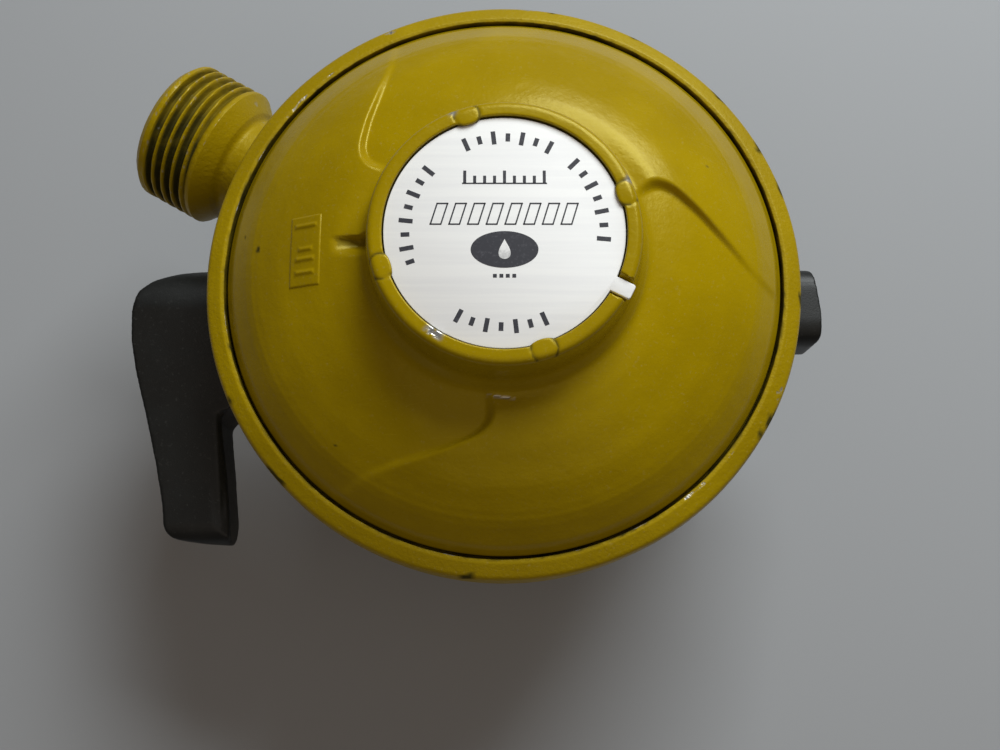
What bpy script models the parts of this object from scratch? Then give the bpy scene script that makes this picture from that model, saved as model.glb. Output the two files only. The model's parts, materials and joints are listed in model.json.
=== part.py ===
"""A clip-on propane regulator: a round cast body with a crimped bonnet, a threaded gas outlet, a shut-off lever
and a socket that locks on a cylinder valve. Sizes are in millimetres and become metres in the meshes.
The origin is on the valve's axis at the base, +Z up; the lever is at -X and the release button at +X."""

import math

import bmesh
import bpy
from mathutils import Matrix, Vector

MM = 0.001
GAP = 0.3  # clearance between pieces that touch

# Driving dimensions
RIM_R = 37.4  # outside of the crimped rim
RIM_Z = 50.0  # middle of the rim
SPINDLE_Z = 34.0  # shut-off spindle axis
SOCKET_R = 10.2  # bore that takes a 20 mm valve
SOCKET_TOP = 19.0  # face of the body above the socket
FLANGE_R = 22.1  # foot of the body, inside the socket's wall
SKIRT_R = 24.5
OUTLET_Z = RIM_Z - 12.2
OUTLET_TURN = 150.3  # degrees from +X
THREAD_R = 10.0  # M20
THREAD_PITCH = 1.5
THREAD_DEPTH = 0.92
OUTLET_END = 53.6  # end face, from the body's axis
OUTLET_BORE = 4.5
NECK_R = 6.9
FLOOR_Z = 39.7  # floor of the low-pressure chamber
CHAMBER_R = 29.0
SEAT_Z = 47.5  # face that the diaphragm's edge lies on
BORE_R = 4.4  # spindle bore
PIN_BORE_R = 3.5
DOME_EDGE_R = 34.2
BOSS_BORE_R = 11.9
LABEL_R = 13.15
LABEL_TOP = RIM_Z + 19.5
LABEL_TAB_TURN = -27.0
BLADES = 3
BLADE_LINE_R = 20.0  # each blade's step is a straight line tangent to this circle
BLADE_TURN = 40.0
BLADE_HEIGHT = 1.6
NOZZLE_X = 15.5
ROCKER_PIVOT_X = 12.0
ROCKER_Z = 44.5
PUSHER_TRAVEL = 2.4
CAM_LOW = 1.6
SCREW_R = 19.5  # pitch radius of the socket's screws
SCREW_COUNT = 4


def clear_scene():
    for old in list(bpy.data.objects):
        bpy.data.objects.remove(old, do_unlink=True)


def make_material(name, colour, roughness, metallic=0.0):
    material = bpy.data.materials.new(name)
    material.use_nodes = True
    shader = material.node_tree.nodes["Principled BSDF"]
    shader.inputs["Base Color"].default_value = (*colour, 1.0)
    shader.inputs["Roughness"].default_value = roughness
    shader.inputs["Metallic"].default_value = metallic
    return material


def add_object(name, bm, material=None, place=None):
    """Turns a bmesh in millimetres into an object in metres, moved by place (also in millimetres)."""
    if place is not None:
        bmesh.ops.transform(bm, matrix=place, verts=bm.verts)
    bmesh.ops.recalc_face_normals(bm, faces=bm.faces)
    bmesh.ops.scale(bm, vec=(MM, MM, MM), verts=bm.verts)
    mesh = bpy.data.meshes.new(name)
    bm.to_mesh(mesh)
    bm.free()
    mesh.shade_smooth()
    mesh.set_sharp_from_angle(angle=math.radians(35))
    obj = bpy.data.objects.new(name, mesh)
    bpy.context.scene.collection.objects.link(obj)
    if material is None:
        obj.hide_render = True
        obj.display_type = "WIRE"
    else:
        mesh.materials.append(material)
    return obj


def set_origin(obj, point):
    """Moves the object's origin to a point given in millimetres, so that it turns about its joint."""
    point = Vector(point) * MM
    obj.data.transform(Matrix.Translation(-point))
    obj.location = point


def lathe(profile, segments=48, lift=None):
    """Turns a closed outline of (radius, height) about Z. lift(r, turn, z) raises a point."""
    bm = bmesh.new()
    rings = []
    for r, z in profile:
        if r < 1e-6:
            rings.append([bm.verts.new((0, 0, z))])
            continue
        ring = []
        for k in range(segments):
            turn = 2 * math.pi * k / segments
            height = z + (lift(r, turn, z) if lift else 0)
            ring.append(bm.verts.new((r * math.cos(turn), r * math.sin(turn), height)))
        rings.append(ring)
    for a, b in zip(rings, rings[1:] + rings[:1]):
        for k in range(segments):
            n = (k + 1) % segments
            corners = [a[k % len(a)], a[n % len(a)], b[n % len(b)], b[k % len(b)]]
            corners = list(dict.fromkeys(corners))
            if len(corners) > 2:
                bm.faces.new(corners)
    return bm


def prism(outline, low, high):
    """Extrudes a flat outline of (x, y) from height low to high."""
    bm = bmesh.new()
    bottom = [bm.verts.new((x, y, low)) for x, y in outline]
    top = [bm.verts.new((x, y, high)) for x, y in outline]
    bm.faces.new(bottom[::-1])
    bm.faces.new(top)
    for k in range(len(outline)):
        n = (k + 1) % len(outline)
        bm.faces.new((bottom[k], bottom[n], top[n], top[k]))
    return bm


def cylinder(radius, low, high, segments=32):
    return prism(arc_points((0, 0), radius, 0, 360, segments, closed=True), low, high)


def arc_points(centre, radius, start, end, steps, closed=False):
    """Points on an arc, angles in degrees. A closed arc leaves out its last point."""
    count = steps if closed else steps + 1
    turns = [math.radians(start + (end - start) * k / steps) for k in range(count)]
    return [(centre[0] + radius * math.cos(t), centre[1] + radius * math.sin(t)) for t in turns]


def box(x, y, z):
    return prism([(x[0], y[0]), (x[1], y[0]), (x[1], y[1]), (x[0], y[1])], z[0], z[1])


def rounded_box(x, y, z, radius, steps=3):
    """A box whose upright edges are round."""
    corners = (
        ((x[1] - radius, y[1] - radius), 0),
        ((x[0] + radius, y[1] - radius), 90),
        ((x[0] + radius, y[0] + radius), 180),
        ((x[1] - radius, y[0] + radius), 270),
    )
    outline = []
    for centre, turn in corners:
        outline += arc_points(centre, radius, turn, turn + 90, steps)
    return prism(outline, z[0], z[1])


def along_x(x=0.0, y=0.0, z=0.0):
    """Places a piece modelled along Z so that its axis runs along +X."""
    return Matrix.Translation((x, y, z)) @ Matrix.Rotation(math.pi / 2, 4, "Y")


def along_y(x=0.0, y=0.0, z=0.0):
    return Matrix.Translation((x, y, z)) @ Matrix.Rotation(-math.pi / 2, 4, "X")


def outlet_place():
    """Local Z runs out along the outlet from the body's axis."""
    turn = Matrix.Rotation(math.radians(OUTLET_TURN), 4, "Z")
    return Matrix.Translation((0, 0, OUTLET_Z)) @ turn @ Matrix.Rotation(math.pi / 2, 4, "Y")


def combine(target, other, operation):
    modifier = target.modifiers.new(f"{operation.lower()}_{other.name}", "BOOLEAN")
    modifier.operation = operation
    modifier.object = other


def cut(target, name, bm, place=None):
    combine(target, add_object(name, bm, place=place), "DIFFERENCE")


def join(target, name, bm, place=None):
    combine(target, add_object(name, bm, place=place), "UNION")


def coil(name, material, radius, wire, turns, low, high, place, steps=12, sides=1):
    """A compression spring along local Z, its wire ends inside low and high."""
    curve = bpy.data.curves.new(name, "CURVE")
    curve.dimensions = "3D"
    curve.bevel_depth = wire * MM
    curve.bevel_resolution = sides
    curve.use_fill_caps = True
    count = int(turns * steps) + 1
    spline = curve.splines.new("POLY")
    spline.points.add(count - 1)
    start, rise = low + wire * 1.15, high - low - wire * 2.3
    for k, point in enumerate(spline.points):
        turn = 2 * math.pi * k / steps
        local = Vector((radius * math.cos(turn), radius * math.sin(turn), start + rise * k / (count - 1)))
        point.co = (*(place @ local * MM), 1)
    obj = bpy.data.objects.new(name, curve)
    bpy.context.scene.collection.objects.link(obj)
    curve.materials.append(material)
    return obj


# --- cast body and outlet ---------------------------------------------------------------------------------


def body_outline():
    lip_top, lip_in = RIM_Z + 2.7, DOME_EDGE_R + 0.55
    return [
        (0, SOCKET_TOP),
        (FLANGE_R, SOCKET_TOP),
        (FLANGE_R, 22.8),
        (FLANGE_R - 1.0, 23.8),
        (16.0, 24.6),
        (16.0, 34.2),
        (18.0, 36.7),
        (25.4, 37.2),
        (29.8, 38.6),
        (32.2, 41.2),
        (33.2, 43.6),
        (36.8, 43.9),
        (RIM_R, 44.7),
        (RIM_R, 49.9),
        (36.9, 51.7),
        (36.0, lip_top),
        (lip_in, lip_top - 0.3),
        (lip_in, 51.7),
        (36.3, 51.7),
        (36.3, SEAT_Z),
        (0, SEAT_Z),
    ]


def outlet_outline():
    """Neck, plain shoulder, thread ridges and a plain nose, along the outlet."""
    root = THREAD_R - THREAD_DEPTH
    points = [(0, 22.0), (NECK_R, 22.0), (NECK_R, 42.1), (NECK_R + 0.9, 42.4), (THREAD_R - 0.3, 44.1), (THREAD_R, 44.7)]
    for k in range(4):
        centre = OUTLET_END - 2.2 - (3 - k) * THREAD_PITCH
        points += [(THREAD_R, centre - 0.6), (root, centre), (THREAD_R, centre + 0.6)]
    points += [(THREAD_R, OUTLET_END - 1.0), (THREAD_R - 1.0, OUTLET_END), (0, OUTLET_END)]
    return points


def make_body(metal):
    body = add_object("lower_body", lathe(body_outline(), 44), metal)
    spindle_boss = lathe([(0, -33.8), (6.4, -33.8), (7.0, -33.2), (7.0, -11.0), (0, -11.0)], 24)
    join(body, "spindle_boss", spindle_boss, along_x(z=SPINDLE_Z))
    join(body, "nozzle_boss", cylinder(5.0, 30.0, FLOOR_Z - 0.5, 24), Matrix.Translation((NOZZLE_X, 0, 0)))
    join(body, "outlet", lathe(outlet_outline(), 28), outlet_place())
    chamber = [(0, FLOOR_Z), (CHAMBER_R - 1.5, FLOOR_Z), (CHAMBER_R, FLOOR_Z + 1.5), (CHAMBER_R, 50.0), (0, 50.0)]
    cut(body, "chamber", lathe(chamber, 44))
    for side, name in ((-1, "rocker_post_a"), (1, "rocker_post_b")):
        y = sorted((side * 3.4, side * 6.0))
        join(body, name, box((ROCKER_PIVOT_X - 2.2, ROCKER_PIVOT_X + 2.2), y, (FLOOR_Z - 0.6, ROCKER_Z + 2.0)))
    cut(body, "outlet_bore", cylinder(OUTLET_BORE, 23.5, OUTLET_END + 2, 20), outlet_place())
    bore = [(0, -40.0), (5.7, -40.0), (5.7, -31.3), (BORE_R, -31.3), (BORE_R, 6.5), (2.1, 6.5)]
    bore += [(2.1, NOZZLE_X + 1.5), (0, NOZZLE_X + 1.5)]
    cut(body, "spindle_bore", lathe(bore, 24), along_x(z=SPINDLE_Z))
    cut(body, "nozzle_bore", cylinder(2.7, SPINDLE_Z, FLOOR_Z + 2, 16), Matrix.Translation((NOZZLE_X, 0, 0)))
    cut(body, "pin_bore", cylinder(PIN_BORE_R, SOCKET_TOP - 2, SPINDLE_Z, 20))
    cut(body, "pivot_hole", cylinder(1.3, -8.0, 8.0, 16), along_y(ROCKER_PIVOT_X, 0, ROCKER_Z))
    for k in range(SCREW_COUNT):
        hole = cylinder(1.45, SOCKET_TOP - 1, SOCKET_TOP + 5, 8)
        cut(body, f"screw_hole_{k}", hole, screw_place(k))
    for modifier in body.modifiers:
        modifier.solver = "MANIFOLD"  # the exact solver leaves open edges round the gland seat
    return body


def screw_place(k):
    turn = math.radians(45 + 360 * k / SCREW_COUNT)
    return Matrix.Translation((SCREW_R * math.cos(turn), SCREW_R * math.sin(turn), 0))


# --- bonnet, label and adjuster ---------------------------------------------------------------------------


def blade_line_turn(r):
    """Direction, in degrees, in which the first blade's step lies at radius r."""
    start_r = BLADE_LINE_R + 0.9
    swing = math.degrees(math.acos(min(1.0, BLADE_LINE_R / max(r, start_r))))
    return BLADE_TURN - swing


def blade_height(r, turn, z):
    """The bonnet's three fan blades: each rises clockwise and ends in a step that dies out at the rim."""
    if r < 16.0 or r > DOME_EDGE_R or z < 53.5 or (z < 60.0 and r < 23.0):
        return 0.0
    inner = min(1.0, (r - 16.0) / 3.0)
    outer = max(0.0, (DOME_EDGE_R - r) / (DOME_EDGE_R - 19.7))
    sector = 360.0 / BLADES
    away = (math.degrees(turn) - blade_line_turn(r)) % sector
    step = min(1.0, math.radians(away) * r / 1.5)
    return BLADE_HEIGHT * inner * min(1.0, outer) * step * (1 - away / sector)


def bonnet_outline():
    top = LABEL_TOP + 0.5
    seat = LABEL_TOP - 0.8
    outer = [(36.0, 48.9), (36.0, 51.4), (DOME_EDGE_R, 51.4), (DOME_EDGE_R, 52.4), (33.2, 54.0), (30.6, 56.6)]
    outer += [(27.0, 58.75), (22.6, 60.7), (19.0, 61.9), (16.8, 62.7), (15.7, 64.2), (15.3, 68.6), (14.4, top)]
    seat_step = [(LABEL_R + 0.35, top), (LABEL_R + 0.35, seat), (BOSS_BORE_R, seat), (BOSS_BORE_R, 59.4)]
    inner = [(18.75, 59.3), (25.0, 57.0), (30.4, 53.4), (31.5, 51.5), (31.5, 48.9)]
    return outer + seat_step + inner


def make_bonnet(metal):
    bonnet = add_object("bonnet", lathe(bonnet_outline(), 54, blade_height), metal)
    slot = box((12.0, 16.2), (-1.15, 1.15), (LABEL_TOP - 0.8, LABEL_TOP + 2))
    cut(bonnet, "label_slot", slot, Matrix.Rotation(math.radians(LABEL_TAB_TURN), 4, "Z"))
    # the notch's ramp is drawn in X and Z, then stood up so that it is as wide as the notch in Y
    ramp = prism([(-20.2, 62.8), (-15.7, 60.9), (-15.7, 66.0), (-20.2, 66.0)], -1.5, 0.9)
    cut(bonnet, "vent_notch", ramp, Matrix.Rotation(math.pi / 2, 4, "X"))
    cut(bonnet, "vent_hole", cylinder(0.7, -18.5, -10.8, 12), along_x(y=0.4, z=61.8))
    return bonnet


def make_label(metal):
    half, reach = 0.87, 15.85
    tab_half_turn = math.degrees(math.asin(half / LABEL_R))
    outline = arc_points((0, 0), LABEL_R, tab_half_turn, 360 - tab_half_turn, 44)
    outline += [(reach, -half), (reach, half)]
    turn = Matrix.Rotation(math.radians(LABEL_TAB_TURN), 4, "Z")
    return add_object("label_disc", prism(outline, LABEL_TOP - 0.5, LABEL_TOP), metal, turn)


def make_adjusting_screw(metal):
    """A threaded plug, fine ridges on its edge, with a hexagon socket on top."""
    low, high, edge, root = 63.4, 68.4, BOSS_BORE_R - GAP, BOSS_BORE_R - 1.1
    points = [(0, low + 1.6), (8.0, low + 1.6), (8.6, low), (root, low)]
    for k in range(2):
        base = low + 0.6 + 2.0 * k
        points += [(root, base), (edge, base + 0.8), (root, base + 1.6)]
    points += [(root, high), (0, high)]
    screw = add_object("adjusting_screw", lathe(points, 28), metal)
    cut(screw, "screw_hexagon", prism(arc_points((0, 0), 4.0, 0, 360, 6, closed=True), 66.0, 70.0))
    return screw


# --- diaphragm and valve ----------------------------------------------------------------------------------


def make_diaphragm(rubber):
    """A moulded disc: clamped edge, one rolled convolution up to a raised middle, and a hole for the stem."""
    upper = [(2.3, 51.2), (20.0, 51.2), (22.0, 52.8), (24.6, 53.2), (27.0, 52.3), (28.6, 49.4), (29.6, 48.6)]
    lower = [(36.0, 48.6), (36.0, SEAT_Z + GAP), (29.2, SEAT_Z + GAP), (27.9, 49.2), (26.5, 51.8), (24.5, 52.5)]
    lower += [(22.4, 52.1), (20.3, 50.5), (2.3, 50.5)]
    return add_object("diaphragm", lathe(upper + lower, 32), rubber)


def make_diaphragm_plate(steel):
    outline = [(2.4, 51.5), (19.0, 51.5), (19.7, 52.2), (19.3, 52.8), (18.5, 52.3), (2.4, 52.3)]
    return add_object("diaphragm_plate", lathe(outline, 32), steel)


def make_stem(brass):
    """Clamps the diaphragm between a collar and a riveted head, with a slot below for the rocker."""
    points = [(0, 41.2), (3.0, 41.2), (3.2, 41.5), (3.2, 48.6), (8.0, 49.2), (8.0, 50.2)]
    points += [(2.0, 50.2), (2.0, 52.6), (3.9, 52.6), (3.4, 53.7), (0, 54.0)]
    stem = add_object("diaphragm_stem", lathe(points, 20), brass)
    cut(stem, "stem_slot", box((-5, 5), (-2.2, 2.2), (ROCKER_Z - 1.45, ROCKER_Z + 1.45)))
    return stem


def make_rocker(steel):
    """A flat lever: its slim end sits in the stem, its short end carries the seat pad over the nozzle."""
    half, slim = 2.7, 1.8
    outline = [(-1.6, -slim), (4.0, -slim), (6.0, -half), (18.0, -half), (18.0, half), (6.0, half)]
    outline += [(4.0, slim), (-1.6, slim)]
    rocker = add_object("rocker", prism(outline, ROCKER_Z - 0.75, ROCKER_Z + 0.75), steel)
    barrel = cylinder(2.0, -2.7, 2.7, 16)
    join(rocker, "rocker_barrel", barrel, along_y(ROCKER_PIVOT_X, 0, ROCKER_Z))
    cut(rocker, "rocker_hole", cylinder(1.3, -4, 4, 12), along_y(ROCKER_PIVOT_X, 0, ROCKER_Z))
    set_origin(rocker, (ROCKER_PIVOT_X, 0, ROCKER_Z))
    return rocker


def make_rocker_pin(steel):
    pin = cylinder(1.0, -6.0, 6.0, 12)
    return add_object("rocker_pin", pin, steel, along_y(ROCKER_PIVOT_X, 0, ROCKER_Z))


def make_seat_pad(rubber):
    top = ROCKER_Z - 0.75 - 0.1
    outline = [(0, top - 1.0), (1.4, top - 1.0), (1.6, top - 0.8), (1.6, top), (0, top)]
    return add_object("seat_pad", lathe(outline, 16), rubber, Matrix.Translation((NOZZLE_X + 0.2, 0, 0)))


def make_nozzle(brass):
    """A screwed-in jet with a raised lip and a fine bore."""
    stem, flange = 2.4, 3.2
    points = [(0.7, 34.4), (stem, 34.4), (stem, FLOOR_Z + 0.2), (flange, FLOOR_Z + 0.2), (flange, 40.8)]
    points += [(1.9, 41.2), (1.2, 42.15), (0.7, 42.15)]
    return add_object("nozzle", lathe(points, 16), brass, Matrix.Translation((NOZZLE_X, 0, 0)))


# --- shut-off -------------------------------------------------------------------------------------------


def make_spindle(steel):
    """Bearing, O-ring groove and neck in one turned piece, with a spiral cam over the pusher."""
    r = BORE_R - GAP
    points = [(0, -4.2), (r, -4.2), (r, -26.6), (2.9, -26.6), (2.9, -28.5), (r, -28.5), (r, -30.9), (3.1, -30.9)]
    points += [(3.1, -43.2), (0, -43.2)]
    spindle = add_object("spindle", lathe(points, 24), steel, along_x(z=SPINDLE_Z))
    join(spindle, "cam", prism(cam_outline(), -4.6, 4.2), cam_place())
    cut(spindle, "spindle_flat", box((-44.5, -35.4), (2.3, 5.0), (SPINDLE_Z - 6, SPINDLE_Z + 6)))
    cut(spindle, "lever_screw_hole", cylinder(1.3, -46.0, -37.0, 12), along_x(z=SPINDLE_Z))
    set_origin(spindle, (-20, 0, SPINDLE_Z))
    return spindle


def cam_outline():
    """Radius grows evenly with the turn, so the pusher moves evenly with the lever, then falls back."""
    outline = []
    for k in range(36):
        turn = 10.0 * k
        if turn <= 110:
            r = CAM_LOW + PUSHER_TRAVEL * min(turn, 95.0) / 90.0
        elif turn <= 200:
            r = CAM_LOW + PUSHER_TRAVEL * 95.0 / 90.0
        else:
            r = CAM_LOW + PUSHER_TRAVEL * 95.0 / 90.0 * max(0.0, (320.0 - turn) / 120.0)
        # turn 0 points down at rest, and the profile runs against the lever's way round
        outline.append((-r * math.sin(math.radians(turn)), -r * math.cos(math.radians(turn))))
    return outline


def cam_place():
    """Local X becomes Y, local Y becomes Z and local Z becomes X."""
    turned = Matrix(((0, 0, 1, 0), (1, 0, 0, 0), (0, 1, 0, 0), (0, 0, 0, 1)))
    return Matrix.Translation((0, 0, SPINDLE_Z)) @ turned


def make_spindle_ring(rubber):
    """The O-ring in the spindle's groove."""
    section = arc_points((3.65, -27.55), 0.6, 0, 360, 8, closed=True)
    return add_object("spindle_o_ring", lathe(section, 20), rubber, along_x(z=SPINDLE_Z))


def make_gland(brass):
    """Ring pressed in the boss's mouth, which keeps the spindle in."""
    outline = [(3.4, -34.2), (5.1, -34.2), (5.4, -33.9), (5.4, -31.6), (3.4, -31.6)]
    return add_object("spindle_gland", lathe(outline, 24), brass, along_x(z=SPINDLE_Z))


def lever_plan():
    """The lever from above: a round-shouldered hub and a broad arm that narrows to its tip."""
    outline = [(-34.9, 6.2), (-40.8, 5.9), (-44.9, 5.0), (-48.0, 3.6), (-49.7, 1.8), (-50.4, -0.6), (-50.5, -4.8)]
    outline += [(-49.8, -9.0), (-48.9, -12.6), (-47.9, -16.4), (-46.7, -21.2), (-45.6, -26.0)]
    outline += arc_points((-42.6, -28.5), 2.8, 180, 255, 3)
    outline += [(-39.9, -31.7), (-36.4, -32.0), (-36.5, -29.0), (-37.2, -23.0), (-37.9, -18.0), (-38.2, -15.6)]
    return outline + [(-37.5, -14.2), (-34.9, -12.6)]


def lever_side():
    """The lever from its outer side, as (y, z) from the spindle's axis."""
    hub = arc_points((0, 0), 6.1, 95, -90, 10)
    tip = arc_points((-29.0, 0.0), 3.2, 255, 105, 5)
    return hub + [(-13.6, -6.1), (-16.4, -3.5), (-24.0, -3.2)] + tip + [(-24.0, 3.2), (-14.0, 3.8), (-6.0, 5.0)]


def make_lever(plastic):
    lever = add_object("tap_lever", prism(lever_plan(), SPINDLE_Z - 10, SPINDLE_Z + 10), plastic)
    side = prism(lever_side(), -58.0, -30.0)
    combine(lever, add_object("lever_side_shape", side, place=cam_place()), "INTERSECT")
    cut(lever, "lever_socket", cylinder(3.4, -43.5, -30.0, 24), along_x(z=SPINDLE_Z))
    cut(lever, "lever_screw_bore", cylinder(1.8, -48.0, -42.0, 16), along_x(z=SPINDLE_Z))
    cut(lever, "lever_screw_recess", cylinder(3.2, -56.0, -46.6, 20), along_x(z=SPINDLE_Z))
    set_origin(lever, (-43, 0, SPINDLE_Z))
    return lever


def make_lever_screw(steel):
    outline = [(0, -48.6), (2.3, -48.6), (2.8, -48.0), (2.8, -46.7), (1.5, -46.7), (1.5, -43.6), (1.0, -42.9)]
    outline += [(1.0, -38.4), (0, -38.0)]
    screw = add_object("lever_screw", lathe(outline, 16), steel, along_x(z=SPINDLE_Z))
    for k, size in enumerate(((0.35, 1.8), (1.8, 0.35))):
        slot = box((-50.0, -47.6), (-size[0], size[0]), (SPINDLE_Z - size[1], SPINDLE_Z + size[1]))
        cut(screw, f"screw_cross_{k}", slot)
    set_origin(screw, (-43, 0, SPINDLE_Z))
    return screw


def make_pusher(steel):
    """The pin that opens the cylinder's valve: a rounded head under the cam, a collar and a long tip."""
    top = SPINDLE_Z - CAM_LOW - 0.5
    points = [(0, 12.6), (1.2, 12.6), (1.7, 13.2), (1.7, 27.8), (3.1, 27.8), (3.1, 28.6), (1.7, 28.8)]
    points += [(1.7, top - 0.7), (1.0, top - 0.1), (0, top)]
    return add_object("pusher_pin", lathe(points, 16), steel)


def make_pusher_guide(brass):
    """Bush below the pusher's spring, with notches for the gas."""
    guide = add_object("pusher_guide", lathe([(2.0, 19.2), (3.2, 19.2), (3.2, 21.0), (2.0, 21.0)], 18), brass)
    for k in range(3):
        turn = Matrix.Rotation(math.radians(120 * k + 60), 4, "Z")
        cut(guide, f"gas_notch_{k}", box((2.7, 4.5), (-0.7, 0.7), (18.0, 22.0)), turn)
    return guide


# --- socket, latch and button ---------------------------------------------------------------------------


def make_socket(plastic):
    """Moulded skirt around the valve's bore, with pillars for the screws and a guide for the button."""
    outline = [(SOCKET_R, 2.8), (12.8, 2.8), (12.8, 15.4), (22.4, 15.4), (22.4, 2.8), (SKIRT_R, 2.8)]
    outline += [(SKIRT_R, 21.4), (24.0, 22.3), (22.4, 22.6), (22.4, SOCKET_TOP - GAP), (SOCKET_R, SOCKET_TOP - GAP)]
    socket = add_object("socket_housing", lathe(outline, 44), plastic)
    for k in range(SCREW_COUNT):
        join(socket, f"screw_pillar_{k}", cylinder(3.3, 5.4, 16.0, 14), screw_place(k))
    join(socket, "leg_case", rounded_box((20.5, 29.6), (-7.2, 7.2), (2.8, 20.0), 1.5))
    join(socket, "button_guide", rounded_box((20.5, 33.0), (-7.2, 7.2), (16.4, 36.3), 1.5))
    cut(socket, "body_relief", cylinder(22.4, SOCKET_TOP - GAP, 40.0, 44))
    cut(socket, "guide_tunnel", box((20.0, 35.0), (-5.5, 5.5), (28.4, 35.2)))
    cut(socket, "leg_pocket", box((22.0, 28.0), (-5.5, 5.5), (2.0, 29.0)))
    cut(socket, "spring_way", box((12.4, 24.0), (-3.2, 3.2), (7.0, 13.2)))
    for k in range(SCREW_COUNT):
        cut(socket, f"pillar_hole_{k}", cylinder(1.75, 0.0, 20.0, 10), screw_place(k))
    # the latch plate slides between the pillars' ends and the base cover
    cut(socket, "latch_way", box((-17.0, 19.0), (-12.6, 12.6), (2.0, 5.3)))
    cut(socket, "tongue_way", box((18.0, 23.0), (-5.7, 5.7), (2.0, 5.3)))
    cut(socket, "socket_bore", cylinder(SOCKET_R, 0.0, SOCKET_TOP + 1, 44))
    for modifier in socket.modifiers:
        modifier.solver = "MANIFOLD"  # many of these faces lie in one plane, where the exact solver leaves edges open
    return socket


def make_base_cover(plastic):
    """Ring that closes the socket from below and leads the valve in."""
    points = [(SOCKET_R + 1.3, 0), (SKIRT_R - 0.8, 0), (SKIRT_R, 0.8), (SKIRT_R, 2.5), (SOCKET_R + 0.1, 2.5)]
    points += [(SOCKET_R + 0.1, 1.2)]
    cover = add_object("base_cover", lathe(points, 44), plastic)
    join(cover, "leg_cover", rounded_box((18.0, 29.6), (-7.2, 7.2), (0.4, 2.5), 1.5))
    for k in range(SCREW_COUNT):
        cut(cover, f"cover_hole_{k}", cylinder(1.75, -1.0, 4.0, 10), screw_place(k))
        cut(cover, f"cover_sink_{k}", cylinder(3.0, -1.0, 1.7, 14), screw_place(k))
    return cover


def make_latch(steel):
    """Plate whose oval hole bites the valve's groove at -X, with an upturned leg that the button holds."""
    latch = add_object("latch_plate", prism(rounded_outline(-13.4, 15.8, -12.2, 12.2, 4.0), 3.1, 4.7), steel)
    join(latch, "latch_tongue", box((14.0, 27.2), (-5.0, 5.0), (3.1, 4.7)))
    join(latch, "latch_leg", box((25.6, 27.2), (-4.2, 4.2), (3.1, 33.0)))
    for k, x in enumerate((1.7, 2.9)):
        cut(latch, f"latch_hole_{k}", cylinder(SOCKET_R + 0.2, 1.0, 7.0, 40), Matrix.Translation((x, 0, 0)))
    return latch


def rounded_outline(x0, x1, y0, y1, radius, steps=4):
    outline = []
    for centre, turn in (
        ((x1 - radius, y1 - radius), 0),
        ((x0 + radius, y1 - radius), 90),
        ((x0 + radius, y0 + radius), 180),
        ((x1 - radius, y0 + radius), 270),
    ):
        outline += arc_points(centre, radius, turn, turn + 90, steps)
    return outline


def make_button(plastic):
    """Thumb button: a round-edged head outside the guide and a stem that holds the latch's leg."""
    button = add_object("release_button", prism(button_plan(), 30.3, 40.5), plastic)
    section = rounded_outline(-5.4, 5.4, 30.3, 40.5, 3.2, 3)
    outer = prism(section, 36.0, 46.0)
    turned = Matrix(((0, 0, 1, 0), (1, 0, 0, 0), (0, 1, 0, 0), (0, 0, 0, 1)))
    combine(button, add_object("button_section", outer, place=turned), "INTERSECT")
    join(button, "button_stem", box((24.4, 37.4), (-5.0, 5.0), (28.9, 34.7)))
    cut(button, "button_leg_slot", box((25.3, 27.5), (-4.5, 4.5), (25.0, 33.4)))
    return button


def button_plan():
    """The head from above, its outer face a little askew and its outer corners round."""
    outline = [(36.7, 5.4), (36.7, -5.4)] + arc_points((41.6, -4.1), 1.3, 270, 360, 3)
    return outline + arc_points((41.1, 4.4), 1.0, 0, 90, 3)


def make_inlet_seal(rubber):
    outline = [(4.6, 16.0), (9.7, 16.0), (9.9, 16.2), (9.9, 18.6), (4.6, 18.6)]
    return add_object("inlet_seal", lathe(outline, 32), rubber)


def make_socket_screws(steel):
    """Countersunk-head screws that hold the cover and the socket to the body."""
    for k in range(SCREW_COUNT):
        points = [(0, 0.3), (2.7, 0.3), (2.7, 1.4), (1.4, 1.4), (1.15, 3.0), (1.15, 23.0), (0, 23.6)]
        screw = add_object(f"socket_screw_{k + 1}", lathe(points, 12), steel, screw_place(k))
        for n, size in enumerate(((0.35, 1.7), (1.7, 0.35))):
            slot = box((-size[0], size[0]), (-size[1], size[1]), (-0.5, 1.0))
            cut(screw, f"cross_{k}_{n}", slot, screw_place(k))


def main():
    clear_scene()
    paint = make_material("yellow_paint", (0.62, 0.42, 0.01), 0.35)
    black = make_material("black_plastic", (0.03, 0.033, 0.035), 0.5)
    label = make_material("label_aluminium", (0.85, 0.85, 0.86), 0.35, 0.6)
    steel = make_material("steel", (0.6, 0.6, 0.62), 0.35, 1.0)
    brass = make_material("brass", (0.72, 0.53, 0.22), 0.35, 1.0)
    rubber = make_material("rubber", (0.03, 0.03, 0.03), 0.7)

    make_body(paint)
    make_bonnet(paint)
    make_label(label)
    make_adjusting_screw(brass)
    make_diaphragm(rubber)
    make_diaphragm_plate(steel)
    make_stem(brass)
    coil("main_spring", steel, 9.6, 0.75, 4.2, 52.5, 63.2, Matrix.Identity(4))
    make_rocker(steel)
    make_rocker_pin(steel)
    make_seat_pad(rubber)
    make_nozzle(brass)
    make_spindle(steel)
    make_spindle_ring(rubber)
    make_gland(brass)
    make_lever(black)
    make_lever_screw(steel)
    make_pusher(steel)
    make_pusher_guide(brass)
    coil("pusher_spring", steel, 2.5, 0.28, 4.2, 21.1, 27.7, Matrix.Identity(4), steps=10)
    make_socket(black)
    make_base_cover(black)
    make_latch(steel)
    make_button(black)
    coil("latch_spring", steel, 2.2, 0.32, 6.0, 13.0, 25.4, along_x(z=10.1), steps=9)
    make_inlet_seal(rubber)
    make_socket_screws(steel)


main()
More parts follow.
